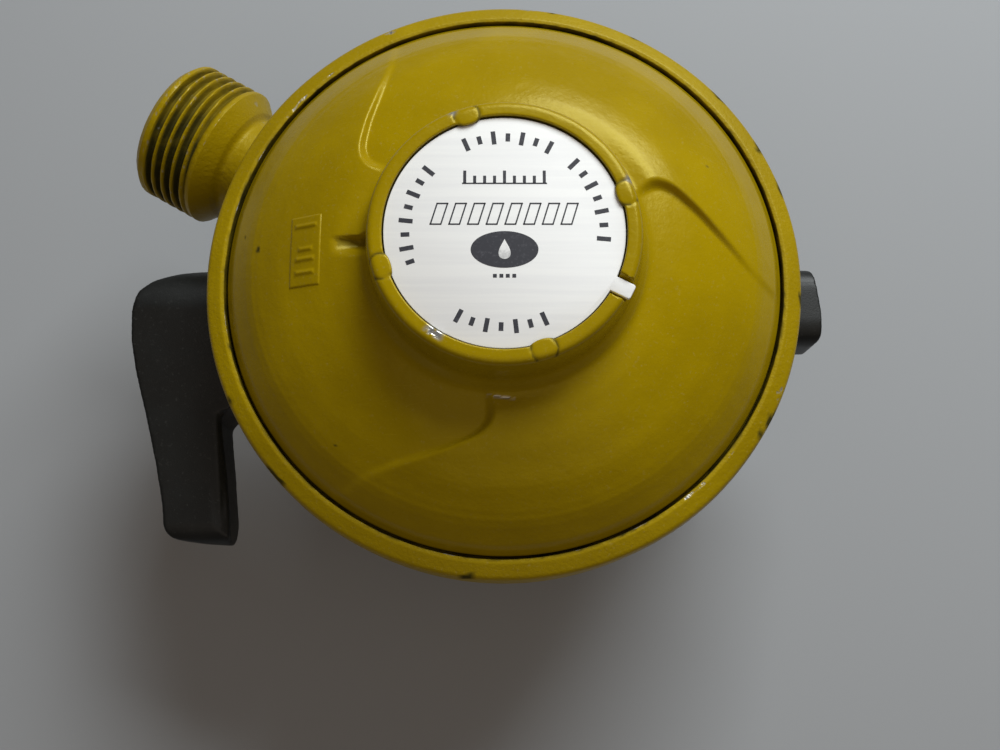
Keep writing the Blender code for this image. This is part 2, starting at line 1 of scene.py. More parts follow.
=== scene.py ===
import json
import math

import bmesh
import bpy
from mathutils import Matrix, Vector, noise


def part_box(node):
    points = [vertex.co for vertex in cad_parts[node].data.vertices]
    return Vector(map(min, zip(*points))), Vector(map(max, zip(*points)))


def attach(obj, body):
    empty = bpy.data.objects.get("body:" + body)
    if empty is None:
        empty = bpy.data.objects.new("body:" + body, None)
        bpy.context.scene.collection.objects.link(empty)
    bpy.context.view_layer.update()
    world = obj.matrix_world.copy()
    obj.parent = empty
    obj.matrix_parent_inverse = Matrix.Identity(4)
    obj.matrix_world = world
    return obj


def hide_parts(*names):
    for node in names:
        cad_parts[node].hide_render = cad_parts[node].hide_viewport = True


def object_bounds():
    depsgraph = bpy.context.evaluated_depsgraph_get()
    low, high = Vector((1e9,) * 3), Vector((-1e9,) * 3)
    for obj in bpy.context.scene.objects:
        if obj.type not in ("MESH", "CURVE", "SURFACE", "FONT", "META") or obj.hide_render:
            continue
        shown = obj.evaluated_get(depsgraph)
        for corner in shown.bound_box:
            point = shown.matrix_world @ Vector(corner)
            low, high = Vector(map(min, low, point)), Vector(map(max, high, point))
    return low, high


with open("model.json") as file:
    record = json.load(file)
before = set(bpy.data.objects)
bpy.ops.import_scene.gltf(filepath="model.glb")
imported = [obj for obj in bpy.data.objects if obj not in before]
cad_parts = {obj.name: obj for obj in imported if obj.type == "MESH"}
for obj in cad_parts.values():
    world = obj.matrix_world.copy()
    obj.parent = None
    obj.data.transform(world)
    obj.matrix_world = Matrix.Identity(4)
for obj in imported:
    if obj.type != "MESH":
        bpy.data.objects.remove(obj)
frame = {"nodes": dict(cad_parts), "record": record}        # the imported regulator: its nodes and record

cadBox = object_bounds()
mm = 0.001
scene = bpy.context.scene
print("frame loaded")


# Outlines and meshes are in millimetres until makePiece scales them.

def polar(r, turn):
    return r * math.cos(turn), r * math.sin(turn)


def rounded(corners, closed=False, turnStep=12):
    # corners are (x, y, radius): each becomes a smooth bend of about that radius
    points = []
    count = len(corners)
    for k, (x, y, radius) in enumerate(corners):
        here = Vector((x, y))
        before = Vector(corners[k - 1][:2]) - here
        after = Vector(corners[(k + 1) % count][:2]) - here
        isEnd = not closed and k in (0, count - 1)
        if radius <= 0 or isEnd:
            points.append(here)
            continue
        between = before.angle(after)
        reach = min(radius / math.tan(between / 2), before.length * 0.49, after.length * 0.49)
        first = here + before.normalized() * reach
        last = here + after.normalized() * reach
        steps = max(2, math.ceil(math.degrees(math.pi - between) / turnStep))
        for n in range(steps + 1):
            t = n / steps
            points.append(first.lerp(here, t).lerp(here.lerp(last, t), t))
    return points


def spaced(points, step, closed=False):
    # adds points so that none of the straight runs is longer than step
    out = []
    nextPoints = points[1:] + points[:1] if closed else points[1:]
    for a, b in zip(points, nextPoints):
        parts = max(1, math.ceil((b - a).length / step))
        for n in range(parts):
            out.append(a.lerp(b, n / parts))
    if not closed:
        out.append(points[-1])
    return out


def turned(outline, steps, shape=None, closed=True):
    # turns (radius, height) points about Z; shape(r, turn, z) gives the moved point
    bm = bmesh.new()
    rings = []
    for r, z in outline:
        if r < 1e-6:
            rings.append([bm.verts.new((0, 0, z))])
            continue
        ring = []
        for k in range(steps):
            turn = 2 * math.pi * k / steps
            place = shape(r, turn, z) if shape else (*polar(r, turn), z)
            ring.append(bm.verts.new(place))
        rings.append(ring)
    nextRings = rings[1:] + rings[:1] if closed else rings[1:]
    for a, b in zip(rings, nextRings):
        for k in range(steps):
            n = (k + 1) % steps
            corners = [a[k % len(a)], a[n % len(a)], b[n % len(b)], b[k % len(b)]]
            corners = list(dict.fromkeys(corners))
            if len(corners) > 2:
                bm.faces.new(corners)
    bmesh.ops.recalc_face_normals(bm, faces=bm.faces)
    return bm


def addSlab(bm, outline, low, high):
    # a flat outline of (x, y) given thickness from low to high
    bottom = [bm.verts.new((x, y, low)) for x, y in outline]
    top = [bm.verts.new((x, y, high)) for x, y in outline]
    bm.faces.new(bottom[::-1])
    bm.faces.new(top)
    for k in range(len(outline)):
        n = (k + 1) % len(outline)
        bm.faces.new((bottom[k], bottom[n], top[n], top[k]))


def slab(outline, low, high):
    bm = bmesh.new()
    addSlab(bm, outline, low, high)
    bmesh.ops.recalc_face_normals(bm, faces=bm.faces)
    return bm


def disc(radius, low, high, steps=64):
    return slab([polar(radius, 2 * math.pi * k / steps) for k in range(steps)], low, high)


def block(x, y, z):
    return slab([(x[0], y[0]), (x[1], y[0]), (x[1], y[1]), (x[0], y[1])], z[0], z[1])


def placed(bm, place):
    bmesh.ops.transform(bm, matrix=place, verts=bm.verts)
    return bm


def alongX(z):
    return Matrix.Translation((0, 0, z)) @ Matrix.Rotation(math.pi / 2, 4, "Y")


def facingX(z):
    # lays a flat outline of (x, y) in the YZ plane, with its thickness along X
    return Matrix(((0, 0, 1, 0), (1, 0, 0, 0), (0, 1, 0, z), (0, 0, 0, 1)))


def toObject(name, bm):
    mesh = bpy.data.meshes.new(name)
    bm.to_mesh(mesh)
    bm.free()
    piece = bpy.data.objects.new(name, mesh)
    scene.collection.objects.link(piece)
    return piece


def applied(piece):
    # keeps what the modifiers make and drops them
    depsgraph = bpy.context.evaluated_depsgraph_get()
    fresh = bpy.data.meshes.new_from_object(piece.evaluated_get(depsgraph))
    piece.modifiers.clear()
    old = piece.data
    piece.data = fresh
    bpy.data.meshes.remove(old)


def carved(piece, operation, *shapes):
    # the tools made from the shapes go once they have done their work
    tools = []
    for bm in shapes:
        tool = toObject(f"{piece.name}_tool", bm)
        modifier = piece.modifiers.new(operation, "BOOLEAN")
        modifier.operation = operation
        modifier.solver = "MANIFOLD"
        modifier.object = tool
        tools.append(tool)
    applied(piece)
    for tool in tools:
        bpy.data.objects.remove(tool, do_unlink=True)


def moulded(piece, voxel, passes):
    # even small faces, then smoothing, which rounds every edge as a mould does
    remesh = piece.modifiers.new("even", "REMESH")
    remesh.mode = "VOXEL"
    remesh.voxel_size = voxel
    smooth = piece.modifiers.new("soften", "SMOOTH")
    smooth.factor = 0.5
    smooth.iterations = passes
    applied(piece)


def mask(mesh, name, amount):
    # a value from 0 to 1 on each point, which the materials read by name
    layer = mesh.attributes.new(name, "FLOAT", "POINT")
    layer.data.foreach_set("value", [amount(v.co) for v in mesh.vertices])


def makePiece(piece, material, body, nodes=(), masks=None, sharp=40):
    mesh = piece.data
    for name, amount in (masks or {}).items():
        mask(mesh, name, amount)
    mesh.transform(Matrix.Scale(mm, 4))
    mesh.shade_smooth()
    mesh.set_sharp_from_angle(angle=math.radians(sharp))
    mesh.materials.clear()
    mesh.materials.append(material)
    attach(piece, body)
    if nodes:
        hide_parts(*nodes)


def soft(t):
    t = max(0.0, min(1.0, t))
    return t * t * (3 - 2 * t)


def bump(distance, width):
    return math.exp(-(distance / width) ** 2)


# Shader groups that more than one material uses.

def newGroup(name, output, inputs):
    # inputs are numbers by name; each group gives back one number
    group = bpy.data.node_groups.new(name, "ShaderNodeTree")
    for label, value in inputs.items():
        socket = group.interface.new_socket(label, in_out="INPUT", socket_type="NodeSocketFloat")
        socket.default_value = value
    group.interface.new_socket(output, in_out="OUTPUT", socket_type="NodeSocketFloat")
    return group, group.nodes.new("NodeGroupInput"), group.nodes.new("NodeGroupOutput")


def feed(tree, value, socket):
    # value is another node's socket, a plain number or a plain colour
    if isinstance(value, bpy.types.NodeSocket):
        tree.links.new(value, socket)
    else:
        socket.default_value = (*value, 1.0) if isinstance(value, tuple) else value


def mathNode(tree, operation, a, b, clamp=False):
    node = tree.nodes.new("ShaderNodeMath")
    node.operation = operation
    node.use_clamp = clamp
    feed(tree, a, node.inputs[0])
    feed(tree, b, node.inputs[1])
    return node.outputs[0]


def noiseOf(tree, scale, detail=3.0, rough=0.5, stretch=None):
    coords = tree.nodes.new("ShaderNodeTexCoord")
    node = tree.nodes.new("ShaderNodeTexNoise")
    node.inputs["Detail"].default_value = detail
    node.inputs["Roughness"].default_value = rough
    place = coords.outputs["Object"]
    if stretch:
        mapping = tree.nodes.new("ShaderNodeMapping")
        mapping.inputs["Scale"].default_value = stretch
        tree.links.new(place, mapping.inputs["Vector"])
        place = mapping.outputs["Vector"]
    tree.links.new(place, node.inputs["Vector"])
    feed(tree, scale, node.inputs["Scale"])
    return node.outputs["Fac"]


def spread(tree, value, low, high, toLow=0.0, toHigh=1.0):
    node = tree.nodes.new("ShaderNodeMapRange")
    node.interpolation_type = "SMOOTHSTEP"
    tree.links.new(value, node.inputs["Value"])
    for socket, number in (("From Min", low), ("From Max", high), ("To Min", toLow), ("To Max", toHigh)):
        node.inputs[socket].default_value = number
    return node.outputs["Result"]


def grainGroup():
    # a fine pebbled surface over a slower wave, as a height for Bump
    inputs = {"Fine Scale": 3000.0, "Wave Scale": 400.0, "Fine Share": 0.5}
    group, start, end = newGroup("surfaceGrain", "Height", inputs)
    fine = noiseOf(group, start.outputs["Fine Scale"], 2.0, 0.6)
    wave = noiseOf(group, start.outputs["Wave Scale"], 1.0, 0.4)
    share = mathNode(group, "MULTIPLY", fine, start.outputs["Fine Share"])
    group.links.new(mathNode(group, "ADD", wave, share), end.inputs["Height"])
    return group


def edgeWearGroup():
    # polished or chipped edges: where the surface turns sharply, broken up by noise
    group, start, end = newGroup("edgeWear", "Mask", {"Start": 0.54, "Patch Scale": 700.0})
    geometry = group.nodes.new("ShaderNodeNewGeometry")
    past = mathNode(group, "SUBTRACT", geometry.outputs["Pointiness"], start.outputs["Start"])
    edge = mathNode(group, "MULTIPLY", past, 22.0, clamp=True)
    patches = spread(group, noiseOf(group, start.outputs["Patch Scale"], 4.0, 0.65), 0.42, 0.62)
    group.links.new(mathNode(group, "MULTIPLY", edge, patches), end.inputs["Mask"])
    return group


def smudgeGroup():
    # handling marks: soft patches and short fine scratches, for roughness
    group, start, end = newGroup("smudges", "Roughness", {"Base": 0.35, "Amount": 0.15, "Scale": 90.0})
    patches = noiseOf(group, start.outputs["Scale"], 4.0, 0.6)
    streaks = spread(group, noiseOf(group, 160.0, 3.0, 0.7, (1.0, 14.0, 6.0)), 0.55, 0.75)
    centred = mathNode(group, "SUBTRACT", patches, 0.5)
    mixed = mathNode(group, "ADD", centred, mathNode(group, "MULTIPLY", streaks, 0.3))
    change = mathNode(group, "MULTIPLY", mixed, start.outputs["Amount"])
    group.links.new(mathNode(group, "ADD", start.outputs["Base"], change), end.inputs["Roughness"])
    return group


def dustGroup():
    # pale specks that settle on faces that look up
    group, start, end = newGroup("dust", "Mask", {"Amount": 0.3, "Scale": 900.0})
    geometry = group.nodes.new("ShaderNodeNewGeometry")
    parts = group.nodes.new("ShaderNodeSeparateXYZ")
    group.links.new(geometry.outputs["Normal"], parts.inputs[0])
    up = spread(group, parts.outputs["Z"], 0.2, 1.0)
    specks = spread(group, noiseOf(group, start.outputs["Scale"], 5.0, 0.75), 0.56, 0.72)
    both = mathNode(group, "MULTIPLY", up, specks)
    settled = mathNode(group, "MULTIPLY", both, start.outputs["Amount"], clamp=True)
    group.links.new(settled, end.inputs["Mask"])
    return group


shared = {"grain": grainGroup(), "edges": edgeWearGroup(), "smudges": smudgeGroup(), "dust": dustGroup()}
print("shared shader groups ready")


def useGroup(tree, key, **values):
    node = tree.nodes.new("ShaderNodeGroup")
    node.node_tree = shared[key]
    for label, value in values.items():
        spoken = "".join(" " + c if c.isupper() and n else c for n, c in enumerate(label))
        node.inputs[spoken].default_value = value
    return node


def newMaterial(name):
    material = bpy.data.materials.new(name)
    material.use_nodes = True
    tree = material.node_tree
    return material, tree, tree.nodes["Principled BSDF"]


def blended(tree, share, a, b):
    # colour a turning into b
    node = tree.nodes.new("ShaderNodeMix")
    node.data_type = "RGBA"
    for k, value in ((0, share), (6, a), (7, b)):
        feed(tree, value, node.inputs[k])
    return node.outputs[2]


def pointMask(tree, name):
    node = tree.nodes.new("ShaderNodeAttribute")
    node.attribute_name = name
    return node.outputs["Fac"]


def addBump(tree, shader, height, strength, distance):
    node = tree.nodes.new("ShaderNodeBump")
    node.inputs["Strength"].default_value = strength
    node.inputs["Distance"].default_value = distance
    tree.links.new(height, node.inputs["Height"])
    tree.links.new(node.outputs["Normal"], shader.inputs["Normal"])


def addSmudges(tree, shader, base, amount, scale):
    node = useGroup(tree, "smudges", Base=base, Amount=amount, Scale=scale)
    tree.links.new(node.outputs["Roughness"], shader.inputs["Roughness"])


# Enamel on the cast body and the pressed bonnet.

enamel = {
    "bright": (0.405, 0.278, 0.0006),
    "deep": (0.325, 0.218, 0.0005),
    # dark colour for dirt and chips, and for painted shade in grooves and gaps
    "grimeAndShade": (0.028, 0.024, 0.006),
    "dust": (0.62, 0.55, 0.32),
    "bareMetal": (0.50, 0.50, 0.48),
    "roughness": 0.27,
    "castRoughness": 0.44,
    "coat": 0.03,
    "coatRoughness": 0.14,
    "specular": 0.42,
    "tint": (1.0, 0.88, 0.20),
}


def makeEnamel(name, castGrain, roughness, relief):
    material, tree, shader = newMaterial(name)
    tone = spread(tree, noiseOf(tree, 45.0, 4.0, 0.6), 0.3, 0.75)
    colour = blended(tree, tone, enamel["deep"], enamel["bright"])
    speckle = spread(tree, noiseOf(tree, 1500.0, 4.0, 0.7), 0.68, 0.76, 0.0, 0.5)
    colour = blended(tree, speckle, colour, enamel["deep"])
    wear = useGroup(tree, "edges", Start=0.585, PatchScale=900.0)
    chips = mathNode(tree, "MULTIPLY", wear.outputs["Mask"], pointMask(tree, "chips"))
    bare = mathNode(tree, "MAXIMUM", chips, pointMask(tree, "bare"), clamp=True)
    dust = useGroup(tree, "dust", Amount=0.12, Scale=2200.0)
    colour = blended(tree, dust.outputs["Mask"], colour, enamel["dust"])
    # this mask darkens: real dirt, chips and stake outlines, and painted shade in the rim groove, round the label,
    # in the vent notch, in the thread grooves and in the bore
    colour = blended(tree, pointMask(tree, "grimeAndShade"), colour, enamel["grimeAndShade"])
    colour = blended(tree, bare, colour, enamel["bareMetal"])
    tree.links.new(colour, shader.inputs["Base Color"])
    tree.links.new(bare, shader.inputs["Metallic"])
    rough = useGroup(tree, "smudges", Base=roughness, Amount=0.16, Scale=70.0)
    dull = mathNode(tree, "MULTIPLY", pointMask(tree, "grimeAndShade"), 0.45)
    dulled = mathNode(tree, "ADD", rough.outputs["Roughness"], dull, clamp=True)
    tree.links.new(dulled, shader.inputs["Roughness"])
    shader.inputs["Coat Weight"].default_value = enamel["coat"]
    shader.inputs["Coat Roughness"].default_value = enamel["coatRoughness"]
    shader.inputs["Specular IOR Level"].default_value = enamel["specular"]
    shader.inputs["Specular Tint"].default_value = (*enamel["tint"], 1.0)
    grain = useGroup(tree, "grain", FineScale=1900.0, WaveScale=520.0, FineShare=castGrain)
    height = mathNode(tree, "SUBTRACT", grain.outputs["Height"], mathNode(tree, "MULTIPLY", bare, 1.5))
    addBump(tree, shader, height, 0.5, relief)
    return material


enamelSmooth = makeEnamel("oliveEnamel", 0.5, enamel["roughness"], 0.00009)
enamelCast = makeEnamel("oliveEnamelOnCasting", 1.6, enamel["castRoughness"], 0.00008)


# The other finishes.

finishes = {
    "plate": {"bright": (0.97, 0.97, 0.96), "dull": (0.92, 0.92, 0.92), "edge": (0.55, 0.55, 0.56),
              "metallic": 0.03, "roughness": 0.6, "specular": 0.2},
    "ink": {"black": (0.018, 0.018, 0.028), "faded": (0.06, 0.06, 0.075), "roughness": 0.5},
    "plastic": {"dark": (0.003, 0.0036, 0.0033), "light": (0.0065, 0.0075, 0.007),
                "rubbed": (0.09, 0.095, 0.09), "dust": (0.25, 0.25, 0.24),
                "roughness": 0.46, "specular": 0.42},
    "steel": {"bright": (0.62, 0.62, 0.64), "dull": (0.40, 0.40, 0.42), "roughness": 0.32},
    "brass": {"bright": (0.78, 0.57, 0.25), "dull": (0.48, 0.32, 0.13), "roughness": 0.33},
    "rubber": {"dark": (0.016, 0.016, 0.017), "light": (0.04, 0.04, 0.042), "roughness": 0.7},
}


def makePlate():
    # satin aluminium, brushed along X
    look = finishes["plate"]
    material, tree, shader = newMaterial("labelAluminium")
    brush = noiseOf(tree, 900.0, 3.0, 0.6, (0.03, 1.0, 1.0))
    colour = blended(tree, spread(tree, brush, 0.35, 0.65), look["dull"], look["bright"])
    edges = useGroup(tree, "edges", Start=0.55, PatchScale=500.0)
    colour = blended(tree, edges.outputs["Mask"], colour, look["edge"])
    tree.links.new(colour, shader.inputs["Base Color"])
    addSmudges(tree, shader, look["roughness"], 0.2, 110.0)
    shader.inputs["Metallic"].default_value = look["metallic"]
    shader.inputs["Specular IOR Level"].default_value = look["specular"]
    addBump(tree, shader, brush, 0.25, 0.00002)
    return material


def makeInk():
    look = finishes["ink"]
    material, tree, shader = newMaterial("labelInk")
    worn = spread(tree, noiseOf(tree, 2600.0, 4.0, 0.7), 0.52, 0.7)
    tree.links.new(blended(tree, worn, look["black"], look["faded"]), shader.inputs["Base Color"])
    addSmudges(tree, shader, look["roughness"], 0.2, 400.0)
    return material


def makePlastic():
    # moulded black plastic, paler where hands rub the edges
    look = finishes["plastic"]
    material, tree, shader = newMaterial("mouldedPlastic")
    tone = spread(tree, noiseOf(tree, 120.0, 4.0, 0.6), 0.35, 0.7)
    colour = blended(tree, tone, look["dark"], look["light"])
    edges = useGroup(tree, "edges", Start=0.535, PatchScale=650.0)
    worn = mathNode(tree, "MULTIPLY", edges.outputs["Mask"], pointMask(tree, "wear"))
    colour = blended(tree, mathNode(tree, "MULTIPLY", worn, 0.45), colour, look["rubbed"])
    dust = useGroup(tree, "dust", Amount=0.10, Scale=1800.0)
    colour = blended(tree, dust.outputs["Mask"], colour, look["dust"])
    tree.links.new(colour, shader.inputs["Base Color"])
    addSmudges(tree, shader, look["roughness"], 0.22, 140.0)
    shader.inputs["Specular IOR Level"].default_value = look["specular"]
    grain = useGroup(tree, "grain", FineScale=5200.0, WaveScale=700.0, FineShare=1.4)
    addBump(tree, shader, grain.outputs["Height"], 0.4, 0.00003)
    return material


def makeMetal(name, key, stretch):
    look = finishes[key]
    material, tree, shader = newMaterial(name)
    lines = noiseOf(tree, 1800.0, 3.0, 0.6, stretch)
    colour = blended(tree, spread(tree, lines, 0.3, 0.7), look["dull"], look["bright"])
    edges = useGroup(tree, "edges", Start=0.55, PatchScale=800.0)
    colour = blended(tree, mathNode(tree, "MULTIPLY", edges.outputs["Mask"], 0.6), colour, look["bright"])
    tree.links.new(colour, shader.inputs["Base Color"])
    addSmudges(tree, shader, look["roughness"], 0.25, 200.0)
    shader.inputs["Metallic"].default_value = 1.0
    addBump(tree, shader, lines, 0.2, 0.00002)
    return material


def makeRubber():
    look = finishes["rubber"]
    material, tree, shader = newMaterial("nitrileRubber")
    bloom = spread(tree, noiseOf(tree, 260.0, 5.0, 0.7), 0.4, 0.8)
    tree.links.new(blended(tree, bloom, look["dark"], look["light"]), shader.inputs["Base Color"])
    addSmudges(tree, shader, look["roughness"], 0.15, 160.0)
    grain = useGroup(tree, "grain", FineScale=6500.0, WaveScale=900.0, FineShare=1.0)
    addBump(tree, shader, grain.outputs["Height"], 0.35, 0.00003)
    return material


plateMetal = makePlate()
ink = makeInk()
plastic = makePlastic()
steel = makeMetal("turnedSteel", "steel", (0.15, 1.0, 1.0))
brass = makeMetal("turnedBrass", "brass", (0.25, 1.0, 1.0))
rubber = makeRubber()
slotFinish = {"paint": enamelCast, "label": plateMetal, "plastic": plastic,
              "steel": steel, "brass": brass, "rubber": rubber}
for part in frame["record"]["subparts"]:
    node = frame["nodes"][part["node"]]
    node.data.materials.clear()
    node.data.materials.append(slotFinish[part["material_slot"]])
print("finishes on every carried-over node")


# Bonnet: pressed dome, raised label seat, three curved steps, vent notch.

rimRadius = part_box("lower_body")[1].y / mm
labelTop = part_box("label_disc")[1].z / mm

bonnet = {
    "steps": 530,
    "outlineStep": 0.26,
    "grooveRadius": 34.4,
    "seatRadius": 13.45,
    "seatHeight": 68.7,
    "screwBore": 11.9,
    "ringRadius": 15.4,
    # where a blade's step lies: radius and turn in degrees, from the boss to the groove
    "bladeLine": ((16.8, 21.5), (18.4, 23.2), (19.9, 23.2), (21.4, 20.3), (23.0, 14.4), (25.7, 5.5),
                  (29.0, -1.8), (32.0, -5.3), (34.4, -7.0)),
    "bladePitch": 120,
    "bladeHeight": 1.12,
    "bladePower": 1.3,
    "stepWidth": 1.25,
    # the step fades in from the boss, and out to a small share that ends at the groove
    "fadeInFrom": 15.9,
    "fadeIn": 4.2,
    "fadeOut": 14.0,
    "endShare": 0.22,
    "endFade": 1.2,
    "stakeTurns": (17.5, 107.5, 197.5, 287.5),
    "stakeRadius": 14.1,
    "stakeSize": 1.45,
    "stakePress": 0.5,
    "stakeOutline": (0.09, 0.16),
    "tabTurn": -27.0,
    "slotStart": 12,
    "slotDepth": 0.8,
    "slotHalf": 1.05,
    "ventDepth": 1.8,
    "ventLow": (-20.2, -15.4),
    "ventSide": (-0.8, 1.85),
    # small chips in the paint: x, y, radius
    "chips": ((-29.7, 1.9, 0.30), (-31.8, 4.1, 0.14), (-19.6, -21.9, 0.12), (24.6, 11.8, 0.13)),
}


def bonnetOutline():
    top = labelTop + 0.5
    edge, seat = bonnet["grooveRadius"], bonnet["seatRadius"]
    floor, bore = bonnet["seatHeight"], bonnet["screwBore"]
    crown = [(edge, 50.6, 0), (edge, 52.3, 0.3), (33.3, 53.9, 3.0), (30.6, 56.6, 9.0), (27.0, 58.75, 14.0),
             (22.6, 60.7, 16.0), (19.0, 61.9, 12.0), (16.7, 62.7, 1.8), (15.65, 64.6, 3.0),
             (15.4, 68.0, 2.0), (15.1, top, 1.3), (seat, top, 0.22), (seat, floor, 0.15), (bore, floor, 0.1)]
    inside = [(bore, 59.4, 0.5), (18.75, 59.3, 3.0), (25.0, 57.0, 4.0), (30.4, 53.4, 2.0), (31.6, 50.6, 0)]
    fine = spaced(rounded(crown), bonnet["outlineStep"])
    return fine, rounded(inside)


def bladeLineTurn(r):
    # smooth curve through the points of bladeLine
    line = bonnet["bladeLine"]
    for k in range(len(line) - 1):
        if r <= line[k + 1][0] or k == len(line) - 2:
            before, a, b = line[max(0, k - 1)], line[k], line[k + 1]
            after = line[min(len(line) - 1, k + 2)]
            t = max(0.0, min(1.0, (r - a[0]) / (b[0] - a[0])))
            slopeA = (b[1] - before[1]) / (b[0] - before[0]) * (b[0] - a[0])
            slopeB = (after[1] - a[1]) / (after[0] - a[0]) * (b[0] - a[0])
            rise = t * t * (3 - 2 * t)
            return a[1] + (b[1] - a[1]) * rise + slopeA * t * (1 - t) ** 2 - slopeB * t * t * (1 - t)
    return line[-1][1]


def bladeAway(r, turn):
    # degrees past the nearest blade's step
    return (math.degrees(turn) - bladeLineTurn(r)) % bonnet["bladePitch"]


def bladeRise(r, turn, z):
    toGroove = bonnet["grooveRadius"] - r
    isInside = z < 53 or (z < 60 and r < 23)
    if r < 16 or toGroove < 0 or isInside:
        return 0.0
    away = bladeAway(r, turn)
    inner = soft((r - bonnet["fadeInFrom"]) / bonnet["fadeIn"])
    outer = max(soft(toGroove / bonnet["fadeOut"]), bonnet["endShare"] * soft(toGroove / bonnet["endFade"]))
    step = soft(math.radians(away) * r / bonnet["stepWidth"])
    slope = (1 - away / bonnet["bladePitch"]) ** bonnet["bladePower"]
    return bonnet["bladeHeight"] * inner * outer * step * slope


def stakes():
    return [polar(bonnet["stakeRadius"], math.radians(t)) for t in bonnet["stakeTurns"]]


def bonnetShape(r, turn, z):
    isInside = z < labelTop - 1.0 and r < 15.0 or z < 53.4 and r < 33
    if isInside:
        return *polar(r, turn), z
    degrees = math.degrees(turn)
    z += bladeRise(r, turn, z)
    # the ring's inner edge is pressed over the label at the four stakes
    centre = bonnet["stakeRadius"]
    if z > labelTop - 0.6 and r < bonnet["ringRadius"]:
        depth, width = bonnet["stakeOutline"]
        for stakeTurn in bonnet["stakeTurns"]:
            side = math.radians((degrees - stakeTurn + 180) % 360 - 180) * r
            near = max(0.0, 1 - (side / 1.4) ** 2)
            if z > labelTop + 0.02 and r < centre:
                r -= bonnet["stakePress"] * near ** 0.6 * min(1.0, (centre - r) / 0.6)
            away = math.hypot(side, r - centre)
            z -= depth * bump(away - bonnet["stakeSize"], width) - 0.03 * soft(1.3 - away)
    x, y = polar(r, turn)
    # slot for the label's tab
    tab = math.radians(bonnet["tabTurn"])
    along = x * math.cos(tab) + y * math.sin(tab)
    across = -x * math.sin(tab) + y * math.cos(tab)
    slotFloor = labelTop - bonnet["slotDepth"]
    if along > bonnet["slotStart"] and z > slotFloor:
        lowest = slotFloor + 1.4 * soft((abs(across) - bonnet["slotHalf"]) / 0.3)
        z = min(z, lowest)
    # vent notch: a ramp down to the boss, steep on one side
    low, high = bonnet["ventLow"]
    sideLow, sideHigh = bonnet["ventSide"]
    if low - 1 < x < high and sideLow - 1 < y < sideHigh + 1 and z > 60:
        depth = (x - low) / (high - low)
        ramp = z - bonnet["ventDepth"] * max(0.0, depth)
        wall = soft((sideHigh - y) / 0.35) * soft((y - sideLow) / 1.7)
        z = z + (ramp - z) * wall
    return x, y, z


def bonnetGrimeAndShade(co):
    r = math.hypot(co.x, co.y)
    grimeAndShade = 0.0
    # painted shade where the dome rolls down into the groove
    if r > bonnet["grooveRadius"] - 0.3:
        grimeAndShade = 0.9 * soft((52.5 - co.z) / 0.5)
    if r < bonnet["ringRadius"] and co.z > labelTop - 0.7:
        for x, y in stakes():
            off = math.hypot(co.x - x, co.y - y)
            dash = noise.noise(co * 1.3)
            grimeAndShade = max(grimeAndShade, 0.85 * bump(off - bonnet["stakeSize"], 0.13) * soft(dash * 2.2 + 0.75))
    if 18 < r < 34 and co.z > 52:
        for x, y, size in bonnet["chips"]:
            grimeAndShade = max(grimeAndShade, 0.95 * soft((size - math.hypot(co.x - x, co.y - y)) / 0.1 + 0.5))
    # painted shade in the gap round the label and below it
    if r < bonnet["seatRadius"] + 0.06 and co.z < labelTop + 0.25:
        grimeAndShade = max(grimeAndShade, 0.8)
    # painted shade on the vent notch's upper wall
    if -19.5 < co.x < -15.2 and -1.2 < co.y < 1.6 and 59 < co.z < 63.5:
        grimeAndShade = max(grimeAndShade, 0.35 * soft((co.y - 0.4) / 0.6))
    return grimeAndShade


def bonnetBare(co):
    r = math.hypot(co.x, co.y)
    turn = math.degrees(math.atan2(co.y, co.x))
    bare = 0.0
    if co.z > labelTop - 0.2 and r < bonnet["ringRadius"]:
        # rubbed patch at the lower left of the ring, glints by the stakes
        patch = soft(1.6 - abs(turn + 123) / 3.6) * soft((14.35 - r) / 0.35 + 0.5)
        bare = max(bare, patch * soft(noise.noise(co * 2.1) * 2 + 1.1))
        for stakeTurn in (17.5, 107.5):
            off = (turn - stakeTurn - 5.5 + 180) % 360 - 180
            bare = max(bare, 0.8 * bump(off, 1.6) * bump(r - 14.9, 0.35))
    scratch = bump(co.y + 17.3 + 0.12 * co.x, 0.13) * soft((1.7 - abs(co.x + 0.4)) / 0.3)
    if co.y < 0 and co.z > 60:
        bare = max(bare, scratch * soft(noise.noise(co * 3.0) * 2.5 + 0.9))
    return bare


def makeBonnet():
    fine, inside = bonnetOutline()
    shell = toObject("bonnetShell", turned(fine + inside, bonnet["steps"], bonnetShape))
    masks = {"grimeAndShade": bonnetGrimeAndShade, "bare": bonnetBare}
    makePiece(shell, enamelSmooth, "body", ["bonnet"], masks, sharp=75)


makeBonnet()
print("bonnet pressed")


# Raised pad on the dome, with plain cast bars.

datePad = {
    "x": (-25.4, -21.3),
    "y": (-3.9, 5.0),
    "rise": 0.22,
    "step": 0.11,
    # centre along y and half length of each bar
    "marks": ((3.6, 1.1), (0.7, 0.6), (-0.5, 0.9), (-2.1, 0.9)),
    "markRise": 0.16,
    "sink": 0.08,
    "skirt": 0.5,
}


def domeHeight(x, y):
    # top of the fine outline at this radius, with the blades on it
    r = math.hypot(x, y)
    turn = math.atan2(y, x) % (2 * math.pi)
    crown = [p for p in bonnetOutline()[0] if 16.5 < p.x < 34]
    for a, b in zip(crown, crown[1:]):
        if b.x <= r <= a.x:
            z = a.y + (b.y - a.y) * (a.x - r) / max(1e-6, a.x - b.x)
            return z + bladeRise(r, turn, z)
    return crown[-1].y


